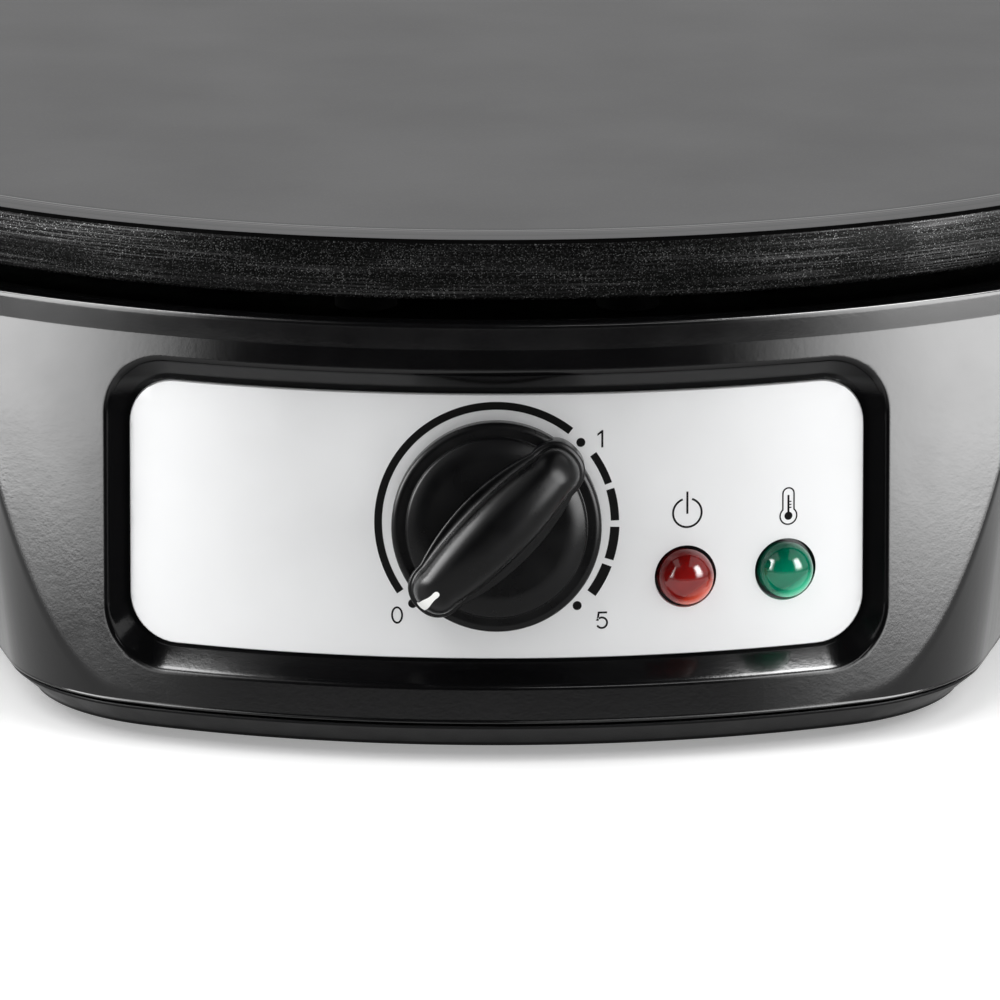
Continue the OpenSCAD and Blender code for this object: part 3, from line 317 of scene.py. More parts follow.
class Coat:
    """A Principled material in the making. Its lengths are in mm."""

    def __init__(self, name):
        self.material = bpy.data.materials.new(name)
        self.material.use_nodes = True
        self.tree = self.material.node_tree
        self.where = self.node("ShaderNodeTexCoord").outputs["Object"]
        self.base = self.normal = None

    def node(self, kind, **values):
        made = self.tree.nodes.new(kind)
        feed(self.tree, made, **values)
        return made

    def shader(self, **values):
        feed(self.tree, self.tree.nodes["Principled BSDF"], **values)

    def math(self, operation, *values):
        return math_node(self.tree, operation, *values)

    def product(self, *values):
        result = values[0]
        for value in values[1:]:
            result = self.math("MULTIPLY", result, value)
        return result

    def noise(self, size, detail=3.0, stretch=None):
        """Noise of about this size, finer by the factors in stretch."""
        vector = self.where
        if stretch:
            vector = self.node("ShaderNodeMapping", Vector=vector, Scale=stretch).outputs["Vector"]
        return self.node("ShaderNodeTexNoise", Vector=vector, Scale=1 / (size * MM),
                         Detail=detail).outputs["Fac"]

    def mapped(self, value, low, high, source=(0.3, 0.7)):
        """Goes from low to high while value goes over source."""
        return self.node("ShaderNodeMapRange", Value=value, From_Min=source[0], From_Max=source[1],
                         To_Min=low, To_Max=high).outputs["Result"]

    def rises(self, value, edge, width):
        """0 up to the place edge, and 1 from width further on."""
        return self.mapped(value, 0, 1, (edge * MM, (edge + width) * MM))

    def falls(self, value, edge, width):
        return self.mapped(value, 1, 0, (edge * MM, (edge + width) * MM))

    def mixed(self, share, a, b):
        """Colour a where share is 0, and b where it is 1."""
        made = self.node("ShaderNodeMix")
        made.data_type = "RGBA"
        feed(self.tree, made, Factor=share)
        for socket, given in ((made.inputs[6], a), (made.inputs[7], b)):
            connect(self.tree, socket, given if isinstance(given, bpy.types.NodeSocket) else (*given, 1))
        return made.outputs[2]

    def tint(self, share, color):
        self.base = self.mixed(share, self.base, color)

    def bump(self, height, depth, strength=1.0):
        """Adds a bump to those that are there."""
        made = self.node("ShaderNodeBump", Height=height, Strength=strength, Distance=depth * MM)
        if self.normal:
            feed(self.tree, made, Normal=self.normal)
        self.normal = made.outputs["Normal"]

    def place(self):
        """The part's X, Y and Z."""
        split = self.node("ShaderNodeSeparateXYZ", Vector=self.where)
        return split.outputs

    def radius(self):
        """Distance from the part's upright axis."""
        x, y, _ = self.place()
        return self.math("SQRT", self.math("ADD", self.product(x, x), self.product(y, y)))


looks = {}


def look(name, color, rough, mottle, uneven, grain=(), extra=None, specular=0.5, **values):
    """Makes the material called name.

    mottle is (share, size) of the colour's variation, uneven the same for the
    roughness, and grain lists (height, size) of the bumps. extra adds nodes of
    its own, and values go to the shader's inputs.
    """
    coat = Coat(name)
    coat.shader(Specular_IOR_Level=specular, **values)
    share, size = mottle
    coat.base = coat.mixed(coat.mapped(coat.noise(size), 0, 1), [c * (1 - share) for c in color],
                           [min(1, c * (1 + share)) for c in color])
    share, size = uneven
    coat.shader(Roughness=coat.mapped(coat.noise(size, 4.0), rough * (1 - share), rough * (1 + share)))
    for depth, size in grain:
        coat.bump(coat.noise(size, 2.0), depth)
    if extra:
        extra(coat)
    coat.shader(Base_Color=coat.base)
    if coat.normal:
        coat.shader(Normal=coat.normal)
    looks[name] = coat.material


COATING, BAND_TONE = (0.045, 0.045, 0.046), (0.085, 0.085, 0.086)
# The turned band round the face, and two thin pale rings on it: distance in
# from the plate's edge, width and strength.
BAND_W = 6.1
PALE_RINGS = ((5.95, 0.3, 0.9), (4.9, 0.16, 0.35))


def coated_face(coat):
    """Fine specks on the plate's face, and a turned band with fine rings."""
    radius = coat.radius()
    speck = coat.mapped(coat.noise(0.4, 1.0), 0, 1, (0.5, 0.75))
    coat.tint(coat.product(speck, 0.05), (0.3, 0.3, 0.3))
    on_band = coat.rises(radius, PLATE_R - BAND_W, 0.2)
    rings = coat.node("ShaderNodeTexNoise", Scale=1 / (0.4 * MM), Detail=2.0)
    rings.noise_dimensions = "1D"
    feed(coat.tree, rings, W=radius)
    ring = rings.outputs["Fac"]
    coat.tint(on_band, coat.mixed(coat.mapped(ring, 0, 1, (0.35, 0.65)), COATING, BAND_TONE))
    for inwards, width, share in PALE_RINGS:
        off = coat.math("ABSOLUTE", coat.math("SUBTRACT", radius, (PLATE_R - inwards) * MM))
        coat.tint(coat.mapped(off, share, 0, (0.3 * width * MM, width * MM)), (0.34, 0.34, 0.34))
    coat.bump(coat.product(ring, on_band), 0.02, 0.7)


def turned_skirt(coat):
    """The plate's dark skirt: turned streaks that shine, and fine metallic flakes
    whose light colour is painted glints.
    """
    fine = coat.noise(1.0, 3.0, (0.03, 0.03, 3.4))
    patch = coat.mapped(coat.noise(1.0, 2.0, (0.05, 0.05, 0.3)), 0.15, 1, (0.4, 0.62))
    streak = coat.product(coat.mapped(fine, 0, 1, (0.46, 0.68)), patch)
    flakes = coat.node("ShaderNodeTexVoronoi", Vector=coat.where, Scale=1 / (0.2 * MM))
    split = coat.node("ShaderNodeSeparateColor", Color=flakes.outputs["Color"])
    chosen = coat.math("POWER", split.outputs[0], 4.0)
    dot = coat.mapped(flakes.outputs["Distance"], 1, 0, (0.25, 0.55))
    flake_and_glint = coat.product(chosen, dot, coat.math("MULTIPLY_ADD", patch, 0.6, 0.4))
    # Painted glints: the flakes' light colour keeps them bright under any light, most in the patches where
    # the streaks shine.
    coat.tint(flake_and_glint, (0.16, 0.16, 0.16))
    coat.shader(Metallic=coat.product(flake_and_glint, 0.7),
                Specular_IOR_Level=coat.math("MULTIPLY_ADD", streak, 0.23, 0.02))
    coat.bump(fine, 0.03, 0.8)


HOUSING_GLOSS = 0.27


def housing_gloss(coat):
    """The pocket's steep ends, close to the panel, hardly shine, and its roof
    and the middle of its floor less."""
    x, _, up = coat.place()
    across = coat.math("ABSOLUTE", x)
    wall = coat.math("MULTIPLY_ADD", up, -math.tan(LEAN), wall_r(0) * MM)
    sunk = coat.rises(coat.math("SUBTRACT", wall, coat.radius()), 0.0, 0.3)
    ends = coat.product(sunk, coat.rises(across, 55.5, 2.5), coat.rises(up, 13.5, 1.5),
                        coat.falls(across, 66.0, 0.6), coat.falls(up, 58.0, 3.0))
    roof = coat.product(sunk, coat.rises(up, 60.4, 1.2))
    floor = coat.product(sunk, coat.falls(up, 16.8, 1.4), coat.falls(across, 31.0, 16.0))
    dulled = coat.product(roof, 0.16)
    for mask, share in ((ends, 0.255), (floor, 0.2)):
        dulled = coat.math("MULTIPLY_ADD", mask, share, dulled)
    dulled = coat.math("MINIMUM", dulled, HOUSING_GLOSS - 0.01)
    coat.shader(Specular_IOR_Level=coat.math("SUBTRACT", HOUSING_GLOSS, dulled))


def plain(name, color, rough, share=0.08, size=3.0, depth=0.006):
    look(name, color, rough, (share, size), (0.12, 2.0), ((depth, 0.4),))


def metal(name, color, rough):
    look(name, color, rough, (0.12, 3.0), (0.25, 1.5), ((0.004, 0.4),), Metallic=1.0)


def lamp_glass(name, painted_shade_tone, color, painted_glow_tone):
    """A dome with painted light: a painted glow in its lower right rim, where
    light from above gathers, and painted shade at its upper left.
    """
    def paint_rim_glow(coat):
        facing = coat.node("ShaderNodeVectorMath")
        facing.operation = "DOT_PRODUCT"
        connect(coat.tree, facing.inputs[0], coat.node("ShaderNodeNewGeometry").outputs["Normal"])
        connect(coat.tree, facing.inputs[1], (0.55, 0, -0.83))
        lean = facing.outputs["Value"]
        # Painted glow, lighter and less clear, where the surface faces the lower right; painted shade where
        # it faces away.
        painted_glow_share = coat.mapped(lean, 0, 1, (0.3, 0.75))
        coat.base = coat.mixed(coat.mapped(lean, 0, 1, (-0.75, -0.05)), painted_shade_tone, coat.base)
        coat.tint(painted_glow_share, painted_glow_tone)
        coat.shader(Transmission_Weight=coat.math("MULTIPLY_ADD", painted_glow_share, -0.45, 0.7))

    look(name, color, 0.07, (0.05, 2.0), (0.2, 1.0), extra=paint_rim_glow, specular=0.4, IOR=1.49)


look("plate_coating", COATING, 0.5, (0.03, 60.0), (0.05, 40.0), ((0.012, 0.5),), coated_face, specular=0.34)
look("plate_skirt", (0.0015,) * 3, 0.27, (0.3, 5.0), (0.3, 0.5), ((0.02, 0.35),), turned_skirt)
look("plate_under", (0.0008,) * 3, 0.7, (0.3, 4.0), (0.1, 1.0), ((0.006, 0.6),), specular=0.03)
look("housing_inside", (0.0008,) * 3, 0.7, (0.2, 6.0), (0.1, 3.0), ((0.006, 0.6),), specular=0.03)
look("housing_plastic", (0.0022, 0.0022, 0.0024), 0.15, (0.15, 30.0), (0.18, 9.0),
     ((0.009, 1.1), (0.006, 0.4)), housing_gloss)
look("cover_plastic", (0.002, 0.002, 0.0022), 0.36, (0.15, 12.0), (0.15, 5.0), ((0.012, 0.5),),
     specular=0.075)
look("fascia_metal", (0.83, 0.835, 0.84), 0.42, (0.02, 22.0), (0.08, 14.0), ((0.001, 0.5),), Metallic=0.6)
look("panel_print", (0.004,) * 3, 0.5, (0.1, 4.0), (0.1, 2.0), specular=0.12)
look("knob_plastic", (0.0015, 0.0015, 0.0017), 0.3, (0.15, 10.0), (0.2, 5.0), ((0.003, 0.8),),
     specular=0.13)
look("pointer_white", (0.88, 0.88, 0.86), 0.4, (0.03, 1.0), (0.1, 1.0))
look("foot_rubber", (0.025,) * 3, 0.75, (0.15, 3.0), (0.1, 1.0), ((0.02, 0.4),))
look("pan_steel", (0.004,) * 3, 0.6, (0.2, 6.0), (0.1, 3.0), ((0.004, 0.8),), specular=0.08)
look("neon_glass", (0.95, 0.9, 0.85), 0.05, (0.03, 1.0), (0.2, 1.0), Transmission_Weight=0.9)
metal("zinc_steel", (0.62, 0.62, 0.64), 0.32)
metal("sheath_steel", (0.32, 0.3, 0.27), 0.42)
metal("brass", (0.75, 0.58, 0.27), 0.3)
metal("copper", (0.72, 0.4, 0.25), 0.33)
lamp_glass("red_lens", (0.2, 0.006, 0.006), (0.5, 0.02, 0.018), (1.0, 0.14, 0.07))
lamp_glass("green_lens", (0.0, 0.14, 0.08), (0.0, 0.44, 0.25), (0.12, 0.95, 0.55))
plain("ceramic", (0.86, 0.83, 0.76), 0.5)
plain("dark_ceramic", (0.02, 0.019, 0.018), 0.45)
plain("bakelite", (0.17, 0.11, 0.07), 0.35, 0.2)
plain("holder_plastic", (0.03, 0.03, 0.031), 0.42, 0.12)
plain("white_plastic", (0.83, 0.83, 0.8), 0.4)
plain("brown_insulation", (0.25, 0.11, 0.045), 0.5)
plain("blue_insulation", (0.05, 0.15, 0.4), 0.5)
plain("green_insulation", (0.2, 0.42, 0.08), 0.5, 0.25)
plain("red_insulation", (0.55, 0.05, 0.04), 0.5)
plain("glass_sleeving", (0.7, 0.67, 0.56), 0.8, 0.2, 0.7, 0.05)

# Every node that stays keeps its own mesh and gets its slot's material.
for row in frame["record"]["subparts"]:
    node = nodes[row["node"]]
    node.data.materials.clear()
    node.data.materials.append(looks[row["material_slot"]])


# ---- housing skin

def smooth_min(a, b, k):
    h = np.maximum(k - np.abs(a - b), 0) / k
    return np.minimum(a, b) - h * h * k / 4


def smooth_step(t):
    t = np.clip(t, 0, 1)
    return t * t * (3 - 2 * t)


# In the skin, the outline's front and rear go out by END_OUT, over END_RUN, so
# that the leaning wall alone forms them.
END_OUT, END_RUN = 3.0, math.radians(9)


def swing(x, y, r, t):
    return np.stack([x + r * np.cos(t), y + r * np.sin(t)], -1)


def plinth_outline(inset, out=0.0, n=40):
    """Right half of the plinth's outline seen from above, front to back."""
    end_r = wall_r(Z_PART) - 0.3 - inset
    corner_r, side_r = PLINTH_CORNER - inset, PLINTH_SIDE - inset
    side_x = PLINTH_W / 2 - PLINTH_SIDE
    a, b = end_r - corner_r, side_r - corner_r
    cx = (a * a + side_x * side_x - b * b) / (2 * side_x)
    cy = math.sqrt(a * a - cx * cx)
    end_angle, side_angle = math.atan2(cy, cx), math.atan2(cy, cx - side_x)
    t = np.linspace(0, side_angle, n)
    side = swing(side_x, 0, side_r, t)
    t = np.linspace(side_angle, end_angle, 2 * n)[1:]
    corner = swing(cx, cy, corner_r, t)
    t = np.linspace(end_angle, math.pi / 2, 2 * n)[1:]
    r = end_r + out * smooth_step((t - end_angle) / END_RUN)
    quarter = np.concatenate([side, corner, swing(0, 0, r, t)])
    return np.concatenate([quarter[::-1] * [1, -1], quarter[1:]])


def flank_r(theta, z, inset):
    """Radius of the plinth's leaning sides. theta is 0 at the front, and all
    points of one row have the same z."""
    outline = plinth_outline(inset, END_OUT)
    x = outline[:, 0] / math.cos(PLINTH_DRAFT) + (z[0] - Z_PART) * math.tan(PLINTH_DRAFT)
    angle = np.arctan2(x, -outline[:, 1])
    return np.interp(np.abs(theta), angle, np.hypot(x, outline[:, 1]))


# The bowl's underside, radius against height.
UNDER = np.array([(0, 43.19), (108, 43.2), (144.2, 47.8), (154.2, 49.6), (162.2, 53.2), (400, 60)])


def under_r(z, inset):
    return np.interp(z - inset, UNDER[:, 1], UNDER[:, 0], left=0)


def pocket_level(x, up, grow):
    """0 on the pocket's floor edge and 1 on its outer edge, between and beyond."""
    low, high = np.full(x.shape, -2.0), np.full(x.shape, 4.0)
    for _ in range(26):
        t = (low + high) / 2
        half_w = PANEL_W / 2 + grow + POCKET_SIDE * t
        half_h = PANEL_H / 2 + grow + np.where(up > 0, POCKET_TOP, POCKET_BOTTOM) * t
        corner = np.maximum(PANEL_CORNER + grow + (POCKET_CORNER - PANEL_CORNER) * t, 0.5)
        qx, qy = np.abs(x) - half_w + corner, np.abs(up) - half_h + corner
        out = np.hypot(np.maximum(qx, 0), np.maximum(qy, 0)) + np.minimum(np.maximum(qx, qy), 0) - corner
        low, high = np.where(out > 0, t, low), np.where(out > 0, high, t)
    return t


def soft_ramp(t, soft):
    """0 below 0, t above, with a round corner."""
    return np.where(t > soft, t, np.where(t < -soft, 0, (t + soft) ** 2 / (4 * soft)))


def pocket_depth(x, z, front, grow=0.0, extra=0.0):
    """Depth of the pocket below the leaning wall."""
    rise = 1 - pocket_level(x, z - Z_PANEL, grow)
    shape = soft_ramp(rise, 0.13) - soft_ramp(rise - 1, 0.1)
    return np.where(front, (POCKET_DEPTH + extra) * shape, 0)


def skin_r(theta, x, z, inset):
    """Radius of the housing's skin, or of its inner face when inset is set."""
    front = np.abs(theta) < math.pi / 2
    if inset:
        depth = pocket_depth(x, z, front, PAN_T * 0.9, PAN_T)
        wall = np.minimum(wall_r(z, inset), wall_r(z, depth))
    else:
        wall = wall_r(z, pocket_depth(x, z, front))
    plinth = -smooth_min(-flank_r(theta, z, inset), -under_r(z, inset), 3.0)
    return smooth_min(wall, plinth, 0.4)


def stops(start, end, base, spots):
    """Values from start to end. spots are (from, to, step) with finer steps."""
    values = [start]
    while values[-1] < end - 1e-6:
        here = values[-1]
        step = base
        for a, b, fine in spots:
            if a - base < here < b:
                step = min(step, fine)
        values.append(min(here + step, end))
    if values[-1] - values[-2] < 0.3 * base:
        values.pop(-2)
    return np.array(values)


half_turn = np.radians(stops(0, 180, 0.75, [
    (0, 22, 0.2), (22, 25.5, 0.1), (25.5, 50, 0.12), (130, 157, 0.25)]))
columns = np.concatenate([-half_turn[::-1][:-1], half_turn[:-1]])


def ring_row(r, z, theta=columns):
    """One level of the housing. theta is 0 at the front."""
    return np.stack([r * np.sin(theta), -r * np.cos(theta), np.full(columns.shape, float(z))], -1)


def skin_row(level, inset=0.0, edge=0.0):
    """One level of the housing's skin. Near the middle of the front the
    columns stand in upright planes, so that they follow the pocket."""
    z = np.full(columns.shape, float(level))
    angular = smooth_step((np.abs(BODY_R * np.sin(columns)) - 72) / 18)
    angular = np.where(np.abs(columns) > math.pi / 2, 1, angular)
    r = wall_r(z)
    for _ in range(6):
        x = (angular * r + (1 - angular) * BODY_R) * np.sin(columns)
        theta = np.where(angular < 1, np.arcsin(np.clip(x / r, -1, 1)), columns)
        r = skin_r(theta, x, z, inset)
    r = r - edge
    return ring_row(r, level, np.where(angular < 1, np.arcsin(np.clip(x / r, -1, 1)), columns))


EDGE_R = 0.2
BEAD_H, BEAD_UP, BEAD_W = 0.14, 0.3, 0.17


def lower_edge(up):
    """How far the wall stands back, up above its lower edge: a round, then a bead."""
    edge = EDGE_R - math.sqrt(EDGE_R ** 2 - (EDGE_R - up) ** 2) if up < EDGE_R else 0
    return edge - BEAD_H * math.exp(-((up - BEAD_UP) / BEAD_W) ** 2)


# Levels are finer at the lower edge, the pocket's edges and the bowl's underside.
levels = stops(Z_PARTED, Z_CREASE - 0.6, 0.45, [
    (7.6, 8.5, 0.07), (12.6, 15, 0.2), (16.2, 18.2, 0.25), (42.4, 53.6, 0.25), (60.2, 61.8, 0.25),
    (64.2, 66.2, 0.25)])
rows = [skin_row(z, 0, lower_edge(z - Z_PARTED)) for z in levels]
DECK_R = (0, 60, 120)
lip = rounded([
    (wall_r(Z_CREASE - 0.8), Z_CREASE - 0.8), (BODY_R, Z_CREASE, 2.0), (BODY_R - 0.02, Z_CREASE + 0.3),
    (BODY_R - 0.21, Z_LIP - 0.9), (BODY_R - 0.3, Z_LIP, 0.5), (DISH_R, Z_LIP, 0.4), (DISH_R, Z_DECK, 1.2),
    (DECK_R[-1], Z_DECK)])[1:-1]
lip += [(r, Z_DECK) for r in DECK_R[::-1]] + [(r, Z_DECK_LOW) for r in DECK_R]
lip.append((wall_r(Z_DECK_LOW, WALL) - 3, Z_DECK_LOW))
rows += [ring_row(r, z) for r, z in lip]
inner_levels = np.concatenate([np.arange(Z_DECK_LOW, 47.5, -1.2), np.arange(47.5, 45, -0.4),
                               np.arange(45, Z_PARTED + 1, -1.5), [Z_PARTED]])
rows += [skin_row(z, WALL) for z in inner_levels]
rows.append(rows[0])
housing = piece("housing_skin", [(np.concatenate(rows), grid_faces(len(rows), len(columns)))],
                "housing_plastic", "base", ["upper_housing"], sharp=50, weight=False)
# The dish under the plate is left rough from the mould.
second_look(housing, "housing_inside",
            lambda at: at.z > 58 * MM and at.to_2d().length < (DISH_R + 0.2) * MM)


# ---- hot plate

SKIRT_FROM, SKIRT_MID, SKIRT_BULGE = Z_TOP - 1.15, 80.8, 42.0
SKIRT_T, SKIRT_EDGE = 5.0, 0.6
# The cast ring that holds the heating element, and the element's groove in it.
RING_R, RING_HALF_W, GROOVE_R = 95.0, 7.6, 3.7
Z_RING = Z_DISC - 5.6
Z_GROOVE = Z_RING + 1.0
# Bosses and studs under the plate: place, radius and height.
BOSSES = [(*at, 6, 8.5) for at in arc((0, 0), 60, 90, 330, 2)]
STUDS = [(x, y, 4, 6) for x, y in ((0, 22), (-34, 5), (-34, 30))]


def skirt_r(z):
    """The skirt's face bulges a little, and is widest at SKIRT_MID."""
    return PLATE_R - (z - SKIRT_MID) ** 2 / (2 * SKIRT_BULGE)


def plate_profile():
    top = [(0, Z_TOP), (60, Z_TOP), (120, Z_TOP), (142.8, Z_TOP), (143.6, Z_TOP), (143.9, Z_TOP - 0.1)]
    edge = rounded([
        (144.1, Z_TOP - 0.02), (PLATE_R - 0.75, Z_TOP - 0.52, 0.15), (skirt_r(SKIRT_FROM), SKIRT_FROM),
        (PLATE_R - 0.7, SKIRT_FROM), (PLATE_R - 0.7, Z_SKIRT + 0.3), (PLATE_R - SKIRT_T, Z_SKIRT + 0.3, 0.5),
        (PLATE_R - SKIRT_T, Z_DISC, 1.2), (140, Z_DISC)])
    groove = [(RING_R + GROOVE_R, Z_RING), (RING_R + GROOVE_R, Z_GROOVE)]
    groove += oval((RING_R, Z_GROOVE), GROOVE_R, GROOVE_R, np.linspace(0.2, math.pi - 0.2, 14))
    groove += [(RING_R - GROOVE_R, Z_GROOVE), (RING_R - GROOVE_R, Z_RING)]
    outer, inner = RING_R + RING_HALF_W, RING_R - RING_HALF_W
    ring = [(outer, Z_DISC), (outer, Z_RING)] + groove + [(inner, Z_RING), (inner, Z_DISC)]
    return top + edge + ring + [(0, Z_DISC)]


plate_parts = [lathe(plate_profile(), 480)]
for x, y, r, h in BOSSES + STUDS:
    points, faces = lathe([(0, Z_DISC + 1), (r, Z_DISC + 1), (r, Z_DISC - h), (r - 2, Z_DISC - h),
                           (r - 2, Z_DISC - 1), (0, Z_DISC - 1)], 48)
    plate_parts.append((points + [x, y, 0], faces))
plate = piece("hot_plate_cast", plate_parts, "plate_coating", "base", ["hot_plate"])
second_look(plate, "plate_under", lambda at: at.z < (Z_TOP - 0.54) * MM)
z_edge = Z_SKIRT + SKIRT_EDGE
skirt_profile = [(PLATE_R - 0.65, SKIRT_FROM)]
skirt_profile += [(skirt_r(z), z) for z in np.linspace(SKIRT_FROM, z_edge, 12)]
skirt_profile += oval((skirt_r(z_edge) - SKIRT_EDGE, z_edge), SKIRT_EDGE, -SKIRT_EDGE,
                      np.linspace(0.2, math.pi / 2, 6))
skirt_profile += [(PLATE_R - SKIRT_T, Z_SKIRT), (PLATE_R - SKIRT_T, Z_SKIRT + 0.25),
                  (PLATE_R - 0.65, Z_SKIRT + 0.25)]
piece("plate_skirt_face", [lathe(skirt_profile, 480)], "plate_skirt", "base")


# ---- bottom cover

VENT_W, VENT_L, VENT_PITCH, VENT_Y = 3.0, 26.0, 8.0, 40.0
SCREW_X, SCREW_Y, SCREW_HOLE_R = 78, 72, 3.2
FOOT_X, FOOT_Y, FOOT_HOLE_R = 62, 118, 8.2


def cover_loop(inset):
    half = plinth_outline(inset)
    left = half[::-1] * [-1, 1]
    return [tuple(p) for p in np.concatenate([half, left[1:-1]])]


def flat_place(x, y, level):
    return np.stack([x, y, level], -1)


def four(x, y, radius, n):
    """Round holes at the four corners of a rectangle about the middle."""
    return [circle((x * a, y * b), radius, n) for a in (-1, 1) for b in (-1, 1)]


Z_COVER_IN = Z_COVER + COVER_T
# Rows (inset, z) of the cover's outer and inner faces, down to its flat floor.
outer_rows = rounded([
    (0.9, Z_PART), (0, Z_PART, 0.2), (0, Z_PART - 0.5, 0.25), (COVER_SLOPE, Z_COVER + 0.5, 0.6),
    (COVER_SLOPE, Z_COVER, 0.3), (COVER_SLOPE + 1, Z_COVER)], 4)
inner_rows = [(0.9, Z_PART), (2.6, Z_PART), (2.7, 6.8), (6.6, 5.3), (6.8, Z_COVER_IN)]
cover_parts = [band(flat_place, *[(cover_loop(inset), z) for inset, z in rows])
               for rows in (outer_rows, inner_rows)]
cover_holes = [cut_up(rectangle(x - VENT_W / 2, y - VENT_L / 2, x + VENT_W / 2, y + VENT_L / 2), 7)
               for y in (-VENT_Y, VENT_Y) for x in np.arange(-3, 4) * VENT_PITCH]
cover_holes += four(SCREW_X, SCREW_Y, SCREW_HOLE_R, 32) + four(FOOT_X, FOOT_Y, FOOT_HOLE_R, 48)
cover_parts += [filled(flat_place, cover_loop(rows[-1][0]), cover_holes, 14, rows[-1][1])
                for rows in (outer_rows, inner_rows)]
cover_parts += [band(flat_place, (loop, Z_COVER), (loop, Z_COVER_IN)) for loop in cover_holes]
piece("cover_shell", cover_parts, "cover_plastic", "base", ["bottom_cover"], weld=1e-6)


# ---- silver panel

def on_panel(x, up, out):
    """A point on the silver panel. up runs along the wall from the knob's axis."""
    z = Z_KNOB + up * math.cos(LEAN)
    r = wall_r(z, PANEL_INSET - out)
    return np.stack([x, -np.sqrt(r * r - x * x), z], -1)


LAMP_UP = (Z_LAMP - Z_KNOB) / math.cos(LEAN)
PANEL_UP = (Z_PANEL - Z_KNOB) / math.cos(LEAN)
PANEL_SLACK, PANEL_EDGE = 0.2, 0.15


def panel_outline(inset):
    width, height = PANEL_W - PANEL_SLACK, (PANEL_H - PANEL_SLACK) / math.cos(LEAN)
    loop = round_rect(width - 2 * inset, height - 2 * inset, PANEL_CORNER - inset)
    return [(x, y + PANEL_UP) for x, y in loop]


face, back = panel_outline(PANEL_EDGE), panel_outline(0)
panel_holes = [circle((0, 0), 4.4, 48)]
panel_holes += [circle((x, LAMP_UP), LENS_R + 0.38, 72) for x in (POWER_X, READY_X)]
panel_parts = [filled(on_panel, face, panel_holes, 2.6, 0),
               filled(on_panel, back, panel_holes, 6, -PANEL_T)]
panel_parts += [band(on_panel, (loop, 0), (loop, -PANEL_T)) for loop in panel_holes]
count = min(len(face), len(back))
panel_parts.append(band(on_panel, (face[:count], 0), (back[:count], -PANEL_EDGE), (back[:count], -PANEL_T)))
piece("fascia_plate", panel_parts, "fascia_metal", "base", ["control_fascia"], weld=1e-6)

# Printed marks: thin black plates on the panel, placed from the knob's axis.
PRINT_OUT, PRINT_IN = 0.035, -0.05
ARC_R, DOT_R, STROKE, SIGN_STROKE = 19.75, 0.75, 0.32, 0.34
marks = []


def mark(outer, holes=()):
    outer = cut_up([tuple(p) for p in outer], 2.0)
    marks.extend(filled(on_panel, outer, holes, 0, level) for level in (PRINT_IN, PRINT_OUT))
    marks.extend(band(on_panel, (loop, PRINT_IN), (loop, PRINT_OUT)) for loop in [outer, *holes])


def ring_mark(width, a, b, n):
    """A part of the printed ring, from angle a to angle b."""
    mark(arc((0, 0), ARC_R + width / 2, a, b, n) + arc((0, 0), ARC_R - width / 2, b, a, n))


# Plain figures, 2.9 mm high, with their middles at (x, y).
def zero(x, y):
    around = np.linspace(0, 2 * math.pi, 41)[:-1]
    mark(oval((x, y), 1.0, 1.45, around), [oval((x, y), 1.0 - STROKE, 1.45 - STROKE, around)])


def one(x, y):
    mark([(x + 0.18, y - 1.45), (x + 0.18, y + 1.45), (x - 0.05, y + 1.45), (x - 0.8, y + 0.85),
          (x - 0.8, y + 0.5), (x - 0.16, y + 0.95), (x - 0.16, y - 1.45)])


def five(x, y):
    line = [(x + 0.85, y + 1.29), (x - 0.55, y + 1.29), (x - 0.72, y + 0.08)]
    mark(strip(line + arc((x - 0.02, y - 0.42), 0.88, 145, -150, 18), STROKE))


def power_sign(x, y):
    mark(strip(arc((x, y), 2.4, 109, 431, 44), SIGN_STROKE))
    mark(strip([(x, y - 0.17), (x, y + 3.55)], SIGN_STROKE))


def thermometer_sign(x, y, bulb_r=1.42, tube_r=0.95, tube_h=3.75):
    """Placed by the middle of its bulb."""
    foot_at = math.degrees(math.acos(tube_r / bulb_r))
    line = arc((x, y), bulb_r, 180 - foot_at, 360 + foot_at, 30) + arc((x, y + tube_h), tube_r, 0, 180, 16)
    inner, outer = strip(cut_up(line, 0.5), 0.24, closed=True)
    mark(outer, [inner])
    mark(circle((x, y), 0.68, 24))
    mark(rectangle(x - 0.17, y + 0.5, x + 0.17, y + 3.5))
    for k in range(3):
        mark(rectangle(x + 0.17, y + 1.3 + 0.5 * k, x + 0.5, y + 1.48 + 0.5 * k))


ring_mark(1.3, 215.6, 51.3, 90)
for high, low, width in ((35.4, 19.2, 1.25), (16.3, 0.8, 1.4), (-2.3, -18.2, 1.55), (-21.2, -36.7, 1.7)):
    ring_mark(width, high, low, 14)
for at in ((-14.003, -13.488), (14.037, 13.488), (13.455, -13.837)):
    mark(circle(at, DOT_R, 28))
zero(-16.6, -15.5)
one(17.6, 14.0)
five(17.6, -16.4)
power_sign(POWER_X + 0.28, 1.02)
thermometer_sign(READY_X + 0.48, -0.7)
piece("panel_print", marks, "panel_print", "base", sharp=30, weight=False)


# ---- knob

KNOB_AT = np.array([0, -wall_r(Z_KNOB, PANEL_INSET), Z_KNOB])
AXIS_OUT = np.array([0, -math.cos(LEAN), math.sin(LEAN)])
AXIS_UP = np.array([0, math.sin(LEAN), math.cos(LEAN)])


def turned_about_z(points, angle):
    points = np.asarray(points, float)
    c, s = math.cos(angle), math.sin(angle)
    x, y = points[..., 0], points[..., 1]
    return np.stack([x * c - y * s, x * s + y * c, points[..., 2]], -1)


def leaning(points, origin):
    """From a frame whose Z runs straight out of the panel to the part's."""
    return origin + points[..., 0:1] * [1, 0, 0] + points[..., 1:2] * AXIS_UP + points[..., 2:3] * AXIS_OUT


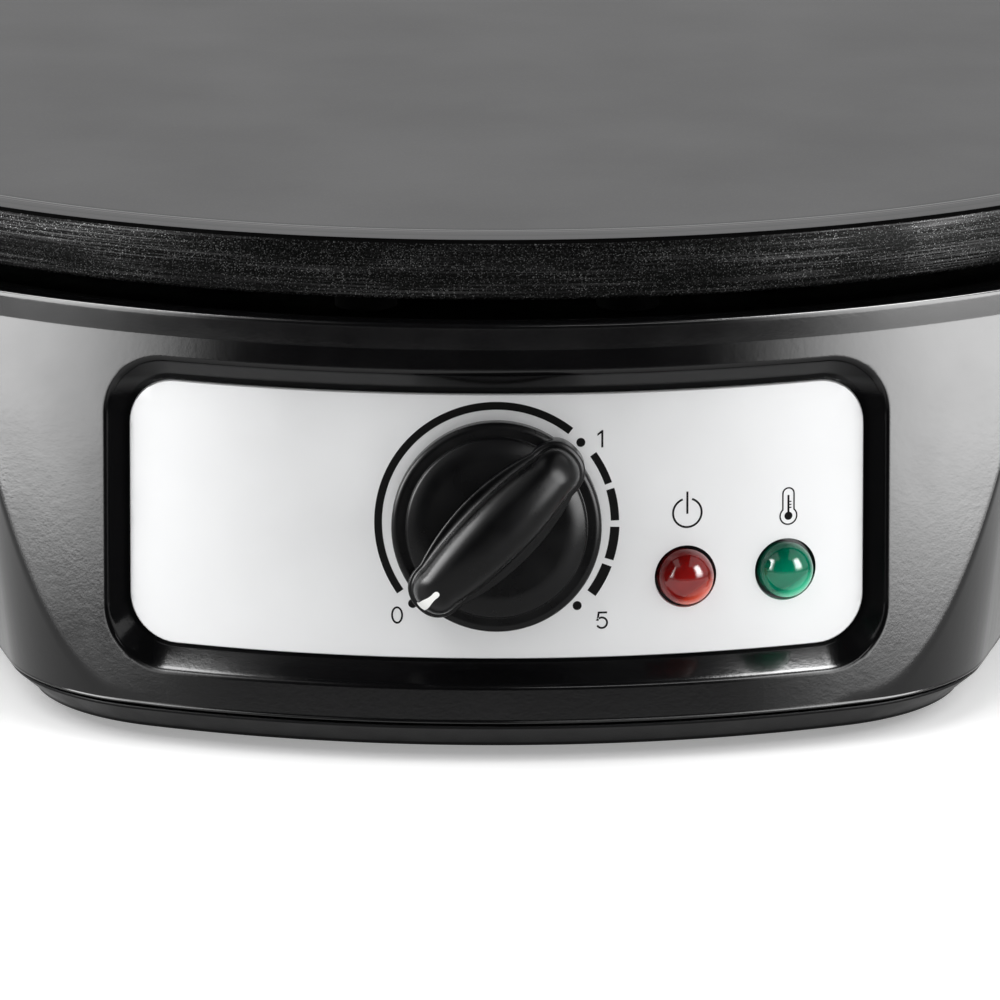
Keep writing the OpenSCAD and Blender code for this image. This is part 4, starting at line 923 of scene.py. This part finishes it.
def knob_space(points):
    """From the knob's own frame, X along the grip and Z out, to the part's."""
    return leaning(turned_about_z(points, KNOB_TURNED), KNOB_AT)


KNOB_R, KNOB_GAP, SKIRT_TOP, DISC_R, DISC_TOP = 17.45, 0.8, 6.4, 15.0, 8.2
# Its hollow back, and the bore for the spindle.
ROOF, HUB_R, HUB_END, BORE_R, BORE_END = 4.4, 5.0, 4.2, 3.05, 13.0
# The disc's edge falls away in a wide round.
CENTRE_TOP, FALL_R, FALL_FROM = DISC_TOP + 0.3, 6.5, 11.2
PEG_R, PEG_TOP = 4.3, 14.5
knob_profile = [(0, PEG_TOP), (PEG_R, PEG_TOP), (PEG_R, CENTRE_TOP)]
knob_profile += [(FALL_FROM + FALL_R * math.sin(t), CENTRE_TOP - FALL_R * (1 - math.cos(t)))
                 for t in np.linspace(0, math.asin((DISC_R - 0.1 - FALL_FROM) / FALL_R), 12)]
knob_profile += rounded([
    knob_profile[-1], (DISC_R, 6.9, 0.15), (DISC_R - 0.1, SKIRT_TOP - 0.1, 0.25), (KNOB_R, SKIRT_TOP, 1.1),
    (KNOB_R, KNOB_GAP, 0.3), (KNOB_R - 2, KNOB_GAP, 0.3), (KNOB_R - 2, ROOF, 0.5), (HUB_R, ROOF),
    (HUB_R, HUB_END), (BORE_R, HUB_END), (BORE_R, BORE_END), (0, BORE_END)], 8)[1:]
points, faces = lathe(knob_profile, 240)
knob_parts = [(knob_space(points), faces)]

# The grip's foot is widest at its middle.
GRIP_HALF, GRIP_END_W, KNOB_H, GRIP_FALL, FOOT_W = 18.45, 7.0, 20.5, 4.6, 14.0
SPINE = GRIP_HALF - 5.6
# How far the grip's sides lean in, at its ends and at its middle.
FLARE, MIDDLE_FLARE = 0.95, 1.95
CROWN, POWER = 5.0, 2.4
side_bulge = (FOOT_W - GRIP_END_W) / 2
side_run = GRIP_HALF - 2.0
side_arc = (side_run ** 2 + side_bulge ** 2) / (2 * side_bulge)
arch_r = (GRIP_HALF ** 2 + GRIP_FALL ** 2) / (2 * GRIP_FALL)


def grip_top(x):
    """Height of the grip's ridge."""
    return KNOB_H - arch_r + np.sqrt(arch_r ** 2 - x ** 2)


def half_width(x):
    return FOOT_W / 2 - side_arc + np.sqrt(side_arc ** 2 - x ** 2)


def grip_outline(n=56):
    """Outline at the grip's foot: two long arcs joined by blunt round ends."""
    x = SPINE * np.sin(np.linspace(-math.pi / 2, math.pi / 2, n))
    side = np.stack([x, half_width(x)], -1)
    w = float(half_width(SPINE))
    t = np.linspace(math.pi / 2, -math.pi / 2, n // 2)[1:-1]
    end = np.stack([SPINE + (GRIP_HALF - SPINE) * np.abs(np.cos(t)) ** 0.78,
                    w * np.sign(np.sin(t)) * np.abs(np.sin(t)) ** 0.9], -1)
    return np.concatenate([side, end, side[::-1] * [1, -1], end[::-1] * [-1, 1]])


outline = grip_outline()
count = len(outline)
foot = np.stack([np.clip(outline[:, 0], -SPINE, SPINE) * 0.995, np.zeros(count)], -1)
spoke = outline - foot
length = np.hypot(*spoke.T)


def grip_ring(inwards, drop=None, level=None):
    """A ring of the grip, inwards of its outline. drop is the depth below the
    ridge, level a height of its own."""
    at = foot + spoke * (1 - inwards / length)[:, None]
    z = grip_top(np.clip(at[:, 0], -GRIP_HALF, GRIP_HALF)) - drop if level is None else level
    return np.concatenate([at, np.broadcast_to(np.asarray(z, float).reshape(-1, 1), (count, 1))], 1)


low_level = np.where(np.hypot(*outline.T) > 15.6, KNOB_GAP, ROOF + 0.2)
ledge = DISC_TOP + 1.5
lean_in = FLARE + (MIDDLE_FLARE - FLARE) * np.clip(1 - (outline[:, 0] / SPINE) ** 2, 0, 1)
# Its flat underside, between the ends that reach down over the skirt ring.
under = grip_ring(np.full(count, 0.7), level=ROOF + 0.2)
under[:, 0] = np.clip(under[:, 0], -DISC_R, DISC_R)
grip_rows = [under, grip_ring(np.full(count, 0.35), level=low_level),
             grip_ring(np.zeros(count), level=low_level + 0.3)]
for share, below in ((0, 0.7), (0.02, 0.35), (0.12, 0.12), (0.3, 0)):
    grip_rows.append(grip_ring(lean_in * share, level=ledge - below))
for k in range(1, 7):
    t = k / 6 * math.pi / 2
    grip_rows.append(grip_ring(lean_in * (0.3 + 0.7 * math.sin(t)), level=ledge + 1.1 * (1 - math.cos(t))))
for k in range(25):
    c = math.cos(k / 24 * math.pi / 2)
    rise = (1 - c ** POWER) ** (1 / POWER) if k else 0
    grip_rows.append(grip_ring(length - (length - lean_in) * c, drop=CROWN * (1 - rise)))
knob_parts.append((knob_space(np.concatenate(grip_rows)),
                   grid_faces(len(grip_rows), count) + [tuple(range(count))]))
piece("knob_moulding", knob_parts, "knob_plastic", "knob", ["control_knob"], sharp=60,
      weld=2e-6)

POINTER_FROM, POINTER_CROWN = 13.4, 4.6
# The pointer's section: place across, as a share of its half width, and height.
POINTER_SECTION = ((-1, -0.5), (-1, 0.0), (-0.6, 0.035), (0, 0.05), (0.6, 0.035), (1, 0.0), (1, -0.5))


def pointer_line():
    """Where the white mark runs over the grip's end, (x, z)."""
    spine_end = SPINE * 0.995
    reach_end = GRIP_HALF - SPINE - FLARE * 0.63
    last = spine_end + reach_end
    t = np.linspace(math.acos((last - 14.1) / (last - spine_end)), math.pi / 2, 17)
    x = np.concatenate([POINTER_FROM + 0.5 * (1 - np.cos(np.linspace(0, 1.4, 6))),
                        last - (last - spine_end) * np.cos(t)])
    x = np.minimum(x, last)
    out = np.clip((x - spine_end) / reach_end, 0, 1)
    z = grip_top(x) - CROWN * (1 - (1 - out ** POWER) ** (1 / POWER))
    return np.concatenate([np.stack([x, z], -1), [[x[-1] + 0.02, z[-1] - 1.2]]])


line = pointer_line()
tangent = unit(np.gradient(line, axis=0))
normal = np.stack([-tangent[:, 1], tangent[:, 0]], -1)
travel = np.concatenate([[0], np.cumsum(np.linalg.norm(np.diff(line, axis=0), axis=1))])
across = 0.46 + 0.34 * smooth_step((travel - 1.4) / 3.2) + 0.08 * np.exp(-((travel - 0.5) / 0.5) ** 2)
across *= np.sqrt(1 - np.clip(1 - travel / 0.55, 0, 0.985) ** 2)
pointer_points = []
for (x, z), (nx, nz), w in zip(line, normal, across):
    for side, out in POINTER_SECTION:
        out -= (side * w) ** 2 / (2 * POINTER_CROWN)
        pointer_points.append((x + nx * out, side * w, z + nz * out))
count = len(POINTER_SECTION)
pointer_faces = grid_faces(len(line), count)
pointer_faces += [tuple(range(count)), tuple(range((len(line) - 1) * count, len(line) * count))]
piece("pointer_inlay", [(knob_space(pointer_points), pointer_faces)], "pointer_white", "knob",
      ["knob_pointer"], sharp=50)


# ---- lamps

def lamp_space(points, across):
    """From a lamp's own frame, Z out of the panel, to the part's."""
    r = wall_r(Z_LAMP, PANEL_INSET)
    return turned_about_z(leaning(points, [0, -r, Z_LAMP]), math.asin(across / r))


FLANGE_R, FLANGE_T = 6.2, 1.2
LENS_BACK = -PANEL_T - 0.15 - PAN_T - 0.35
DOME_H, LENS_BASE, SEEN_R = 3.4, 0.8, 4.68
DOME_R = (SEEN_R ** 2 + DOME_H ** 2) / (2 * DOME_H)
LENS_WALL, CAVITY_RISE = 1.0, 1.6
lens_profile = [(DOME_R * math.sin(t), LENS_BASE + DOME_H - DOME_R + DOME_R * math.cos(t))
                for t in np.linspace(0, math.asin(SEEN_R / DOME_R) - 0.03, 22)]
lens_profile += [(SEEN_R, LENS_BASE), (SEEN_R, LENS_BACK), (FLANGE_R, LENS_BACK),
                 (FLANGE_R, LENS_BACK - FLANGE_T), (SEEN_R - LENS_WALL, LENS_BACK - FLANGE_T),
                 (SEEN_R - LENS_WALL, LENS_BASE - LENS_WALL)]
lens_profile += oval((0, LENS_BASE - LENS_WALL), SEEN_R - LENS_WALL, CAVITY_RISE,
                     np.linspace(0.15, math.pi / 2, 10))
for name, across, slot_name in (("power", POWER_X, "red_lens"), ("ready", READY_X, "green_lens")):
    points, faces = lathe(lens_profile, 96)
    piece(name + "_lens_dome", [(lamp_space(points, across), faces)], slot_name, "base",
          [name + "_lamp_lens"], sharp=40)


# ---- floor and lighting

def hide(obj, *kinds):
    """Hides an object from these kinds of rays."""
    for kind in kinds:
        setattr(obj, "visible_" + kind, False)


def facing(direction):
    """Angles, in degrees, that turn an object's Z along direction."""
    return [math.degrees(angle) for angle in Vector(direction).to_track_quat("Z", "Y").to_euler()]


def stage_plane(name, centre, size, direction, material):
    """A rectangle that faces along direction."""
    mesh = bpy.data.meshes.new(name)
    w, h = size[0] / 2 * MM, size[1] / 2 * MM
    mesh.from_pydata([(x, y, 0) for x, y in rectangle(-w, -h, w, h)], [], [(0, 1, 2, 3)])
    mesh.materials.append(material)
    obj = placed(name, mesh, centre, facing(direction))
    return obj


def seen_rays(tree):
    """1 for rays from the camera, from gloss and through glass."""
    paths = tree.nodes.new("ShaderNodeLightPath")
    return math_node(tree, "MAXIMUM", paths.outputs["Is Camera Ray"], math_node(
        tree, "MAXIMUM", paths.outputs["Is Glossy Ray"], paths.outputs["Is Transmission Ray"]))


FLOOR_GLOW = 0.3
floor_material = bpy.data.materials.new("floor_white")
floor_material.use_nodes = True
tree = floor_material.node_tree
feed(tree, tree.nodes["Principled BSDF"], Base_Color=(0.93, 0.93, 0.93, 1), Roughness=0.8,
     Specular_IOR_Level=0.1, Emission_Color=(1, 1, 1, 1),
     Emission_Strength=math_node(tree, "MULTIPLY", seen_rays(tree), FLOOR_GLOW))
stage_plane("floor", (0, 0, 0), (9000, 9000), (0, 0, 1), floor_material)

WORLD_DIFFUSE, WORLD_SEEN = 0.72, 1.0
scene.world = bpy.data.worlds.new("studio")
scene.world.use_nodes = True
tree = scene.world.node_tree
strength = tree.nodes.new("ShaderNodeMapRange")
feed(tree, strength, Value=seen_rays(tree), To_Min=WORLD_DIFFUSE, To_Max=WORLD_SEEN)
feed(tree, tree.nodes["Background"], Color=(1, 1, 1, 1), Strength=strength.outputs["Result"])


def area_light(name, at, turned, size):
    """A rectangular lamp that shines along its own -Z."""
    data = bpy.data.lights.new(name, "AREA")
    data.shape = "RECTANGLE"
    data.size, data.size_y = size[0] * MM, size[1] * MM
    return placed(name, data, at, turned)


def soft_lamp(name, at, power):
    """A lamp that lights the colours, and that gloss doesn't show."""
    lamp = area_light(name, at, facing(Vector(at) - Vector((0, 0, 40))), (900, 900))
    lamp.data.energy = power
    hide(lamp, "glossy", "camera")


def softbox(name, at, turned, size, strength, fades=(0, 0, 0, 0)):
    """A soft source that only gloss shows, of the given radiance. It fades
    out towards its -X, +X, -Y and +Y edges over these lengths."""
    box = area_light(name, at, turned, size)
    box.data.energy = math.pi * box.data.size * box.data.size_y
    box.data.use_nodes = True
    tree = box.data.node_tree
    split = tree.nodes.new("ShaderNodeSeparateXYZ")
    feed(tree, split, Vector=tree.nodes.new("ShaderNodeNewGeometry").outputs["Parametric"])
    level = strength
    for i, length in enumerate(fades):
        if length:
            made = tree.nodes.new("ShaderNodeMapRange")
            made.interpolation_type = "SMOOTHSTEP"
            feed(tree, made, Value=split.outputs[i // 2], From_Min=i % 2,
                 From_Max=abs(i % 2 - length / size[i // 2]))
            level = math_node(tree, "MULTIPLY", made.outputs["Result"], level)
    feed(tree, tree.nodes["Emission"], Strength=level)
    hide(box, "camera", "diffuse", "transmission", "volume_scatter")
    return box


def beside(azimuth, distance, z):
    a = math.radians(azimuth)
    return distance * math.sin(a), -distance * math.cos(a), z


def upright_box(name, azimuth, z, size, strength, fades):
    """Stands at one side, with its middle at height z, and faces the object."""
    return softbox(name, beside(azimuth, 800, z), (90, 0, azimuth), size, strength, fades)


def side_box(name, azimuth, width, bottom, height, strength, fade_in, fade_up):
    """An upright box that fades towards the front and downwards."""
    fades = (fade_in, 0, fade_up, 0) if azimuth > 0 else (0, fade_in, fade_up, 0)
    return upright_box(name, azimuth, bottom + height / 2, (width, height), strength, fades)


def floor_box(name, azimuth, strength):
    """Lies on the floor at one side, as a patch of floor that is lit strongly."""
    fades = (260, 0, 150, 0) if azimuth > 0 else (0, 260, 150, 0)
    return softbox(name, beside(azimuth, 720, 4), (180, 0, azimuth), (640, 640), strength, fades)


soft_lamp("key", (-700, -900, 1300), 9)
soft_lamp("fill", (900, -700, 1000), 6)

# Black cards stand for the dark studio.
black = bpy.data.materials.new("black_card")
black.use_nodes = True
tree = black.node_tree
tree.nodes.clear()
dark = tree.nodes.new("ShaderNodeEmission")
feed(tree, dark, Strength=0.0)
feed(tree, tree.nodes.new("ShaderNodeOutputMaterial"), Surface=dark.outputs[0])
CARDS = (("front_card", (0, -1300, 770), (2100, 1400), (0, 1, 0)),
         ("top_card", (0, -250, 1200), (800, 1900), (0, 0, -1)),
         ("front_floor_card", (0, -1160, 1), (3400, 1080), (0, 0, 1)),
         ("left_floor_card", (-1075, 240, 1), (1250, 1720), (0, 0, 1)),
         ("right_floor_card", (1075, 240, 1), (1250, 1720), (0, 0, 1)))
for card in CARDS:
    hide(stage_plane(*card, black), "camera", "diffuse", "transmission", "shadow", "volume_scatter")


def lit_by(group, names, boxes):
    """Gives some soft sources to these pieces alone."""
    receivers = bpy.data.collections.new(group)
    scene.collection.children.link(receivers)
    for name in names:
        receivers.objects.link(bpy.data.objects[name])
    for box in boxes:
        box.light_linking.receiver_collection = receivers


REAR_AT = Vector((480, 560, 460))
KNOB_FRONT = Vector((0, -165, 40))
LENS_BOX = (520, 780), 26.0, (200, 200, 260, 260)
# Dark gloss shows only a small share of what it reflects, so its soft sources
# are stronger than those of the silver panel and the plate.
lit_by("dark_gloss", ("housing_skin", "cover_shell", "plate_skirt_face"), [
    side_box("left_softbox", -54, 680, 36, 978, 21.5, 452, 14),
    side_box("right_softbox", 50, 690, 8, 1010, 24.0, 458, 50),
    floor_box("left_floor_light", -62, 3.6),
    floor_box("right_floor_light", 58, 8.5),
    softbox("left_top_box", (-590, 160, 1100), (0, 0, 0), (440, 600), 25.0),
    softbox("right_top_box", (530, 160, 1100), (0, 0, 0), (440, 600), 42.0),
    softbox("front_top_box", (330, -930, 880), (43, 0, 12), (640, 170), 9.0, (150, 0, 0, 0))])
lit_by("knob_gloss", ("knob_moulding",), [
    upright_box("knob_left_box", -88, 430, (1000, 760), 22.0, (220, 330, 220, 300)),
    upright_box("knob_right_box", 42, 420, (760, 900), 22.0, (330, 200, 260, 260)),
    softbox("knob_rear_box", REAR_AT, facing(REAR_AT - KNOB_FRONT), (500, 400), 14.0, (150, 150, 120, 120))])
lit_by("lens_gloss", ("power_lens_dome", "ready_lens_dome"), [
    upright_box("lens_left_box", -54, 400, *LENS_BOX),
    upright_box("lens_right_box", 54, 400, *LENS_BOX)])
lit_by("pale_gloss", ("fascia_plate", "hot_plate_cast", "pointer_inlay"), [
    side_box("left_panel_box", -64, 900, 22, 1000, 1.98, 260, 90),
    side_box("right_panel_box", 50, 900, -5, 1030, 1.0, 300, 90)])

CAMERA_AT, LOOKS_DOWN = (0.58, -1122.5, 304.2), 15.08
camera_data = bpy.data.cameras.new("view")
camera_data.lens = 216.65
camera_data.sensor_width = 36
camera_data.clip_end = 50
scene.camera = placed("view", camera_data, CAMERA_AT, (90 - LOOKS_DOWN, 0, 0))
scene.view_settings.view_transform = "Standard"

bpy.context.view_layer.update()
